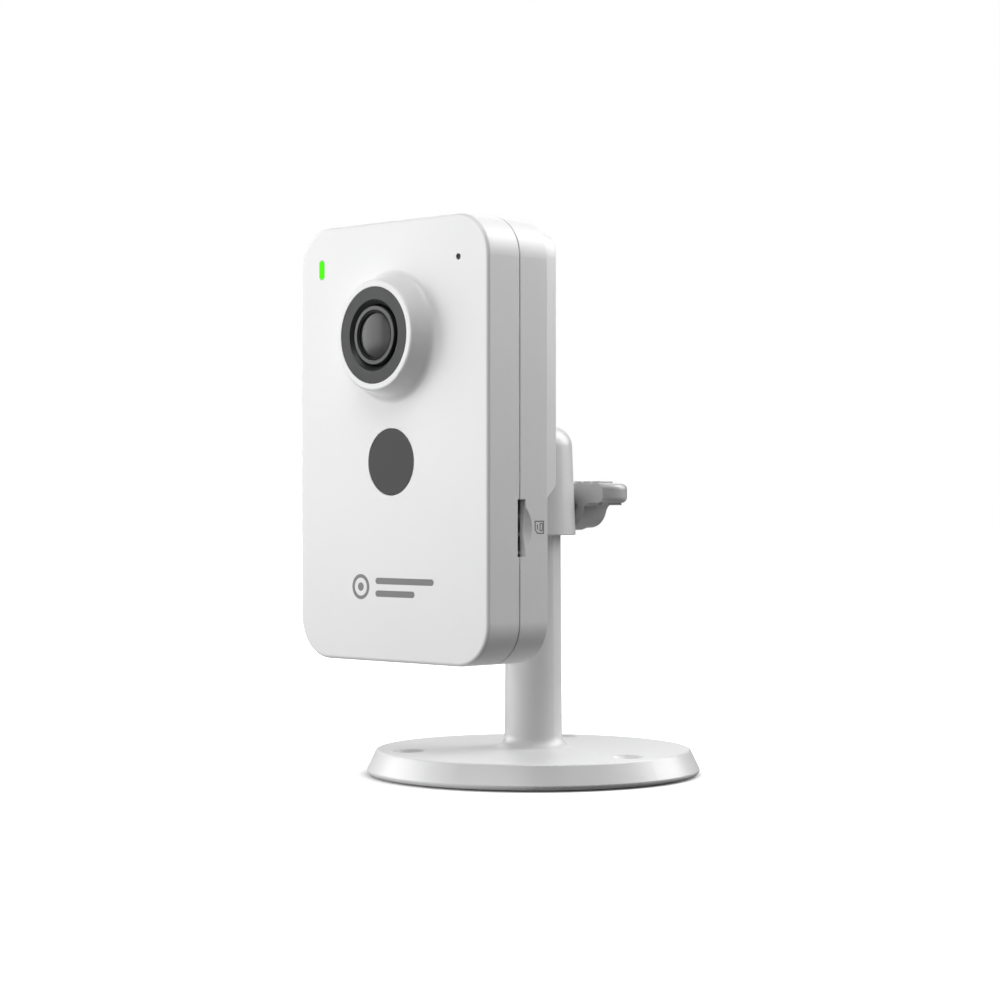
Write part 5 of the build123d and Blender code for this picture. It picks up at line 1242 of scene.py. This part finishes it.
@dataclass
class Speaker(Assembly):
    """The speaker behind the grille holes."""

    axis: Point = (-13.5, 48.0)
    cone_outer: float = 6.2
    cone_inner: float = 2.5
    roll_outer: float = 7.1
    sheet: float = 0.14
    cone_depth: float = 1.05
    dome_rise: float = 0.75
    dome_turns: tuple[float, ...] = (0.0, 0.35, 0.7, 1.05, 1.35)
    lip: float = 0.12
    roll_sheet: float = 0.1

    nodes: ClassVar[tuple[str, ...]] = ("speaker", "speaker_gasket")

    def pieces(self) -> Iterable[bpy.types.Object]:
        """The cone with its dust cap, and the rolled edge round it."""
        rim = high_mm("speaker").y
        deep, lip = rim - self.cone_depth, rim + self.lip
        dome = [(self.cone_inner * math.cos(t), deep + self.dome_rise * math.sin(t)) for t in self.dome_turns]
        edge = (self.cone_outer, lip)
        front = [edge, (self.cone_inner + 0.15, deep + 0.05), *dome, (0.0, deep + self.dome_rise)]
        back = [(r, y - self.sheet) for r, y in reversed(front)]
        cone = Former("speaker_cone").turned(front + back, self.axis)
        yield cone.shown("head", Slot.CHIP, self.material(CONE_FIBRE))
        loop = self.arch(rim, 0.0) + self.arch(rim, self.roll_sheet)[::-1]
        roll = Former("speaker_roll").turned(loop, self.axis, ring=True)
        yield roll.shown("head", Slot.RUBBER, self.material(Slot.RUBBER))

    def arch(self, rim: float, inset: float) -> list[Point]:
        """Half a circle of the rolled edge.

        Args:
            rim: The height of the speaker's rim.
            inset: How far inside the outer line.

        Returns:
            Points of radius and height.
        """
        middle = (self.roll_outer + self.cone_outer) / 2
        half = (self.roll_outer - self.cone_outer) / 2 - inset
        turns = [math.pi * i / 10 for i in range(11)]
        return [(middle + half * math.cos(t), rim + 0.1 + half * math.sin(t)) for t in turns]


@dataclass(frozen=True)
class SmallPart:
    """One kind of small part on a board: its body, and how far its ends are plated."""

    width: float
    length: float
    height: float
    ends: float
    finish: Finish | Slot

    def lying(self, across: float, along: float, upright: bool) -> Point:
        """Turns two measures of the part to its place on the board.

        Args:
            across: The measure across the part.
            along: The measure along it.
            upright: Whether it stands along Z, else it lies along X.

        Returns:
            The measures along X and Z.
        """
        return (across, along) if upright else (along, across)


class BoardFace(Enum):
    """The side of the main board."""

    FRONT = -1
    REAR = 1


@dataclass
class MainBoard(Assembly):
    """The main board with what is soldered on it."""

    clear: float = 0.7
    post_places: tuple[Point, ...] = ((25.0, 37.5), (25.0, 113.0), (25.0, 47.8), (15.0, 127.0))
    post_clear: float = 4.4
    across: tuple[float, ...] = tuple(-25.4 + 3.35 * i for i in range(16))
    rows: tuple[float, ...] = tuple(37.2 + 3.05 * i for i in range(30))
    reach: float = 1.3
    room: float = 1.2
    lap: float = 0.03
    layer: float = 0.02
    track_width: float = 0.5
    track_turns: int = 9
    pad_places: tuple[Point, ...] = tuple((-22.0 + 1.9 * i, 34.9) for i in range(24))
    pad_radius: float = 0.45
    skipped: ClassVar[tuple[str, ...]] = (
        "main_board", "front_cover", "rear_cover", "board_screws", "case_screws", "lens_holder_screws",
    )
    outer_bodies: ClassVar[tuple[str, ...]] = ("stand", "swivel", "knob_and_bolt", "clamp_shoe")

    nodes: ClassVar[tuple[str, ...]] = (
        "main_board", "board_screws", "processor", "thermal_pad", "heat_spreader", "memory_chips",
        "radio_module", "shield_can", "cable_sockets", "flat_cable", "antenna", "antenna_lead",
    )

    def kinds(self) -> tuple[SmallPart, ...]:
        """The kinds of small part, in the order that they follow each other."""
        return (
            SmallPart(0.8, 1.6, 0.45, 0.3, Slot.CHIP),
            SmallPart(0.8, 1.6, 0.8, 0.35, TAN_CERAMIC),
            SmallPart(1.25, 2.0, 1.0, 0.4, TAN_CERAMIC),
            SmallPart(0.8, 1.6, 0.45, 0.3, Slot.CHIP),
            SmallPart(1.6, 2.0, 0.9, 0.3, Slot.CHIP),
        )

    def taken(self, face: BoardFace) -> list[Rectangle]:
        """Rectangles that other parts take on one side of the board.

        Args:
            face: The side.

        Returns:
            Lowest and highest X and Z of each, with room round it.
        """
        if face is BoardFace.FRONT:
            start, end = low_mm("main_board").y - self.reach, low_mm("main_board").y
        else:
            start, end = high_mm("main_board").y, high_mm("main_board").y + self.reach
        found = []
        for node, piece in self.palette.nodes.items():
            low, high = low_mm(node), high_mm(node)
            if node in self.skipped or piece["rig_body"] in self.outer_bodies:
                continue
            if high.y <= start + 0.01 or low.y >= end - 0.01:
                continue
            found.append((low.x - self.clear, high.x + self.clear, low.z - self.clear, high.z + self.clear))
        return found

    def free(self, x: float, z: float, taken: list[Rectangle]) -> bool:
        """Whether a small part fits at a place.

        Args:
            x: The place across.
            z: The place up.
            taken: Rectangles that are taken.

        Returns:
            True where nothing is in the way.
        """
        for px, pz in self.post_places:
            if math.hypot(abs(x) - px, z - pz) < self.post_clear:
                return False
        left, right, foot, top = x - self.room, x + self.room, z - self.room, z + self.room
        return not any(a < right and left < b and c < top and foot < d for a, b, c, d in taken)

    def pieces(self) -> Iterable[bpy.types.Object]:
        """Small parts in rows on both sides, their plated ends and the aerial's track."""
        for face in BoardFace:
            yield from self.populated(face)
        yield self.aerial_track()
        yield self.test_pads()

    def populated(self, face: BoardFace) -> Iterable[bpy.types.Object]:
        """Fills the free rows of one side.

        Args:
            face: The side.

        Returns:
            The pieces, one for each finish.
        """
        surface = low_mm("main_board").y if face is BoardFace.FRONT else high_mm("main_board").y
        name = face.name.lower()
        taken = self.taken(face)
        groups: dict[object, Former] = {}
        ends = Former(f"solder_ends_{name}")
        kinds = self.kinds()
        for row, z in enumerate(self.rows):
            for column, x in enumerate(self.across):
                if (row * 7 + column * 5 + face.value) % 4 == 0 or not self.free(x, z, taken):
                    continue
                part = kinds[(row * 3 + column * 2) % len(kinds)]
                upright = (row + column) % 3 != 0
                rise = surface + face.value * part.height
                low, high = min(surface, rise), max(surface, rise)
                body = groups.setdefault(part.finish, Former(f"small_parts_{name}_{len(groups)}"))
                wide, tall = part.lying(part.width / 2, part.length / 2 - part.ends * 0.5, upright)
                body.brick((x - wide, low, z - tall), (x + wide, high, z + tall), 0.05)
                wide, tall = part.lying(part.width / 2 + self.lap, part.ends / 2 + self.lap, upright)
                for side in (-1, 1):
                    across, up = part.lying(0.0, side * (part.length / 2 - part.ends / 2), upright)
                    ends.brick(
                        (x + across - wide, low - self.layer, z + up - tall),
                        (x + across + wide, high + self.layer, z + up + tall), 0.06,
                    )
        for finish, former in groups.items():
            yield former.shown("head", Slot.CHIP, self.material(finish))
        yield ends.shown("head", Slot.STEEL, self.material(Slot.STEEL))

    def aerial_track(self) -> bpy.types.Object:
        """The copper meander on the aerial's film."""
        low, high = low_mm("antenna"), high_mm("antenna")
        track = Former("aerial_track")
        start, end = low.x + 1.0, high.x - 1.0
        pitch = (end - start) / self.track_turns
        bottom, top = low.z - self.layer, low.z + self.layer
        for i in range(self.track_turns + 1):
            x = start + i * pitch
            leg = rounded_box(self.track_width, high.y - low.y - 1.2, 0.1, (x, (low.y + high.y) / 2), 2)
            track.prism(leg, bottom, top, Axis.Z)
            if i < self.track_turns:
                y = high.y - 0.85 if i % 2 else low.y + 0.85
                link = rounded_box(pitch, self.track_width, 0.1, (x + pitch / 2, y), 2)
                track.prism(link, bottom - 0.005, top - 0.005, Axis.Z)
        return track.shown("head", Slot.COPPER, self.material(GOLD))

    def test_pads(self) -> bpy.types.Object:
        """Round gold test points low on the rear side of the board."""
        back = high_mm("main_board").y
        taken = self.taken(BoardFace.REAR)
        pads = Former("test_pads")
        for place in self.pad_places:
            if self.free(*place, taken):
                pads.prism(circle(self.pad_radius, place, 20), back - self.layer, back + self.layer)
        return pads.shown("head", Slot.BRASS, self.material(GOLD))


# --------------------------------------------------------------------- studio
@dataclass(frozen=True)
class Softbox:
    """A large even light, placed by its direction from the object."""

    name: str
    azimuth: float
    elevation: float
    distance: float
    width: float
    height: float
    brightness: float

    def place(self, target: Vector) -> bpy.types.Object:
        """Hangs the light so that it faces the object.

        Args:
            target: The point that it faces.

        Returns:
            The light's object.
        """
        around, above = math.radians(self.azimuth), math.radians(self.elevation)
        level = math.cos(above)
        away = Vector((math.sin(around) * level, -math.cos(around) * level, math.sin(above)))
        data = bpy.data.lights.new(self.name, "AREA")
        data.shape = "RECTANGLE"
        data.size = self.width
        data.size_y = self.height
        data.energy = self.brightness * math.pi * self.width * self.height
        lamp = bpy.data.objects.new(self.name, data)
        bpy.context.scene.collection.objects.link(lamp)
        lamp.location = target + away * self.distance
        lamp.rotation_euler = away.to_track_quat("Z", "Y").to_euler()
        return lamp


ROOM_LIGHT = 0.01


@dataclass
class Studio:
    """Camera, lights, floor and backdrop."""

    target: Vector
    focal_length: float = 90.1
    sensor: float = 36.0
    camera_place: Place = (0.4347, -0.4464, 0.06804)
    camera_look: Place = (-1.0, 1.0, 0.0)
    floor_radius: float = 4200.0
    floor_drop: float = 0.00002
    # Strength of the floor's painted glow near the foot and far away, and the distances in metres over which
    # each grows.
    near_painted_glow: float = 0.7
    near_reach: Point = (0.0405, 0.046)
    far_painted_glow: float = 0.5
    far_reach: Point = (0.1, 0.5)

    def lights(self) -> tuple[Softbox, ...]:
        """The softboxes round and over the object."""
        return (
            Softbox("left_key", -60.0, -7.0, 0.80, 0.80, 1.05, 3.3),
            Softbox("front_key", -20.0, -14.0, 0.80, 0.55, 1.10, 1.55),
            Softbox("high_front_light", 15.0, 55.0, 0.80, 0.50, 0.50, 4.2),
            Softbox("strip_light", 79.0, 42.0, 0.80, 0.12, 0.55, 2.0),
            Softbox("right_light", 125.0, 28.0, 0.80, 0.40, 0.60, 0.6),
            Softbox("right_rear_light", 155.0, 28.0, 0.80, 0.50, 0.60, 4.8),
            Softbox("left_rear_light", -125.0, 26.0, 0.90, 0.80, 0.70, 1.1),
            Softbox("high_rear_light", 150.0, 60.0, 0.80, 0.90, 0.60, 1.6),
        )

    def build(self) -> None:
        """Sets up the whole studio."""
        for light in self.lights():
            LOG.info("Studio: hung %s", light.place(self.target).name)
        self.floor()
        self.backdrop()
        self.camera()
        bpy.context.scene.view_settings.view_transform = "Standard"

    def floor(self) -> bpy.types.Object:
        """A wide pale floor; to the camera it adds a painted glow that grows away from the foot, and to other
        rays it is a dim shaded copy.

        Returns:
            The floor's object.
        """
        data = bpy.data.meshes.new("studio_floor")
        sheet = bmesh.new()
        outline = circle(self.floor_radius, steps=96)
        rim = [sheet.verts.new((x * MM, y * MM, -self.floor_drop)) for x, y in outline]
        sheet.faces.new(rim)
        sheet.to_mesh(data)
        sheet.free()
        recipe = Recipe("pale_floor_painted_glow")
        tree = recipe.tree
        lit = recipe.add("ShaderNodeBsdfDiffuse")
        mottled = recipe.mixed(recipe.noise(3.0), (0.80, 0.80, 0.80), (0.78, 0.78, 0.78))
        recipe.feed(lit.inputs["Color"], mottled)
        reach = recipe.add("ShaderNodeVectorMath", operation="LENGTH")
        recipe.feed(reach.inputs[0], recipe.place)
        # Painted light: the floor glows more with distance from the foot, so it turns white away from the
        # object.
        glow = recipe.add("ShaderNodeEmission")
        near = recipe.spread(reach.outputs["Value"], 0.0, self.near_painted_glow, *self.near_reach)
        far = recipe.spread(reach.outputs["Value"], 0.0, self.far_painted_glow, *self.far_reach)
        recipe.feed(glow.inputs["Strength"], recipe.sum("ADD", near, far))
        # Painted shade: rays other than the camera's see a dim copy of the floor, so little light bounces
        # onto the object.
        dim = recipe.add("ShaderNodeBsdfDiffuse")
        recipe.feed(dim.inputs["Color"], (0.12, 0.12, 0.12, 1.0))
        both = recipe.add("ShaderNodeAddShader")
        tree.links.new(lit.outputs["BSDF"], both.inputs[0])
        tree.links.new(glow.outputs["Emission"], both.inputs[1])
        choice = recipe.add("ShaderNodeMixShader")
        tree.links.new(recipe.add("ShaderNodeLightPath").outputs["Is Camera Ray"], choice.inputs[0])
        tree.links.new(dim.outputs["BSDF"], choice.inputs[1])
        tree.links.new(both.outputs["Shader"], choice.inputs[2])
        tree.links.new(choice.outputs["Shader"], tree.nodes["Material Output"].inputs["Surface"])
        data.materials.append(recipe.material)
        piece = bpy.data.objects.new("studio_floor", data)
        bpy.context.scene.collection.objects.link(piece)
        piece.visible_shadow = False
        piece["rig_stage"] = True
        return piece

    def backdrop(self) -> None:
        """A white backdrop that lights the object only softly."""
        world = bpy.data.worlds.new("white_backdrop")
        bpy.context.scene.world = world
        world.use_nodes = True
        tree = world.node_tree
        room = tree.nodes["Background"]
        room.inputs["Color"].default_value = (1.0, 1.0, 1.0, 1.0)
        room.inputs["Strength"].default_value = ROOM_LIGHT
        white = tree.nodes.new("ShaderNodeBackground")
        white.inputs["Color"].default_value = (1.0, 1.0, 1.0, 1.0)
        white.inputs["Strength"].default_value = 1.0
        choice = tree.nodes.new("ShaderNodeMixShader")
        tree.links.new(tree.nodes.new("ShaderNodeLightPath").outputs["Is Camera Ray"], choice.inputs[0])
        tree.links.new(room.outputs["Background"], choice.inputs[1])
        tree.links.new(white.outputs["Background"], choice.inputs[2])
        tree.links.new(choice.outputs["Shader"], tree.nodes["World Output"].inputs["Surface"])

    def camera(self) -> bpy.types.Object:
        """The camera, level with the middle of the object.

        Returns:
            The camera's object.
        """
        data = bpy.data.cameras.new("camera")
        data.lens = self.focal_length
        data.sensor_width = self.sensor
        data.clip_start = 0.01
        camera = bpy.data.objects.new("camera", data)
        bpy.context.scene.collection.objects.link(camera)
        camera.location = self.camera_place
        camera.rotation_euler = Vector(self.camera_look).to_track_quat("-Z", "Y").to_euler()
        bpy.context.scene.camera = camera
        return camera


def write_sizes() -> None:
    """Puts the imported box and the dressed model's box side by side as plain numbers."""
    boxes = {"cad": CAD_BOX, "visual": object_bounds()}
    plain = {key: [[float(n) for n in corner] for corner in box] for key, box in boxes.items()}


def main() -> None:
    """Builds every sub-assembly and the studio, in order."""
    logging.basicConfig(level=logging.INFO, format="%(name)s: %(message)s")
    palette = Palette(frame)
    groups = (
        Stand, SwivelClamp, TiltHinge, HeadShell, LensUnit, DayFilter, NightWindow, StatusLight, HearingPort,
        CardSlot, RearFace, Speaker, MainBoard,
    )
    for group in groups:
        group(palette).build()
    low, high = CAD_BOX
    Studio((low + high) / 2).build()
    write_sizes()


if __name__ == "__main__":
    main()
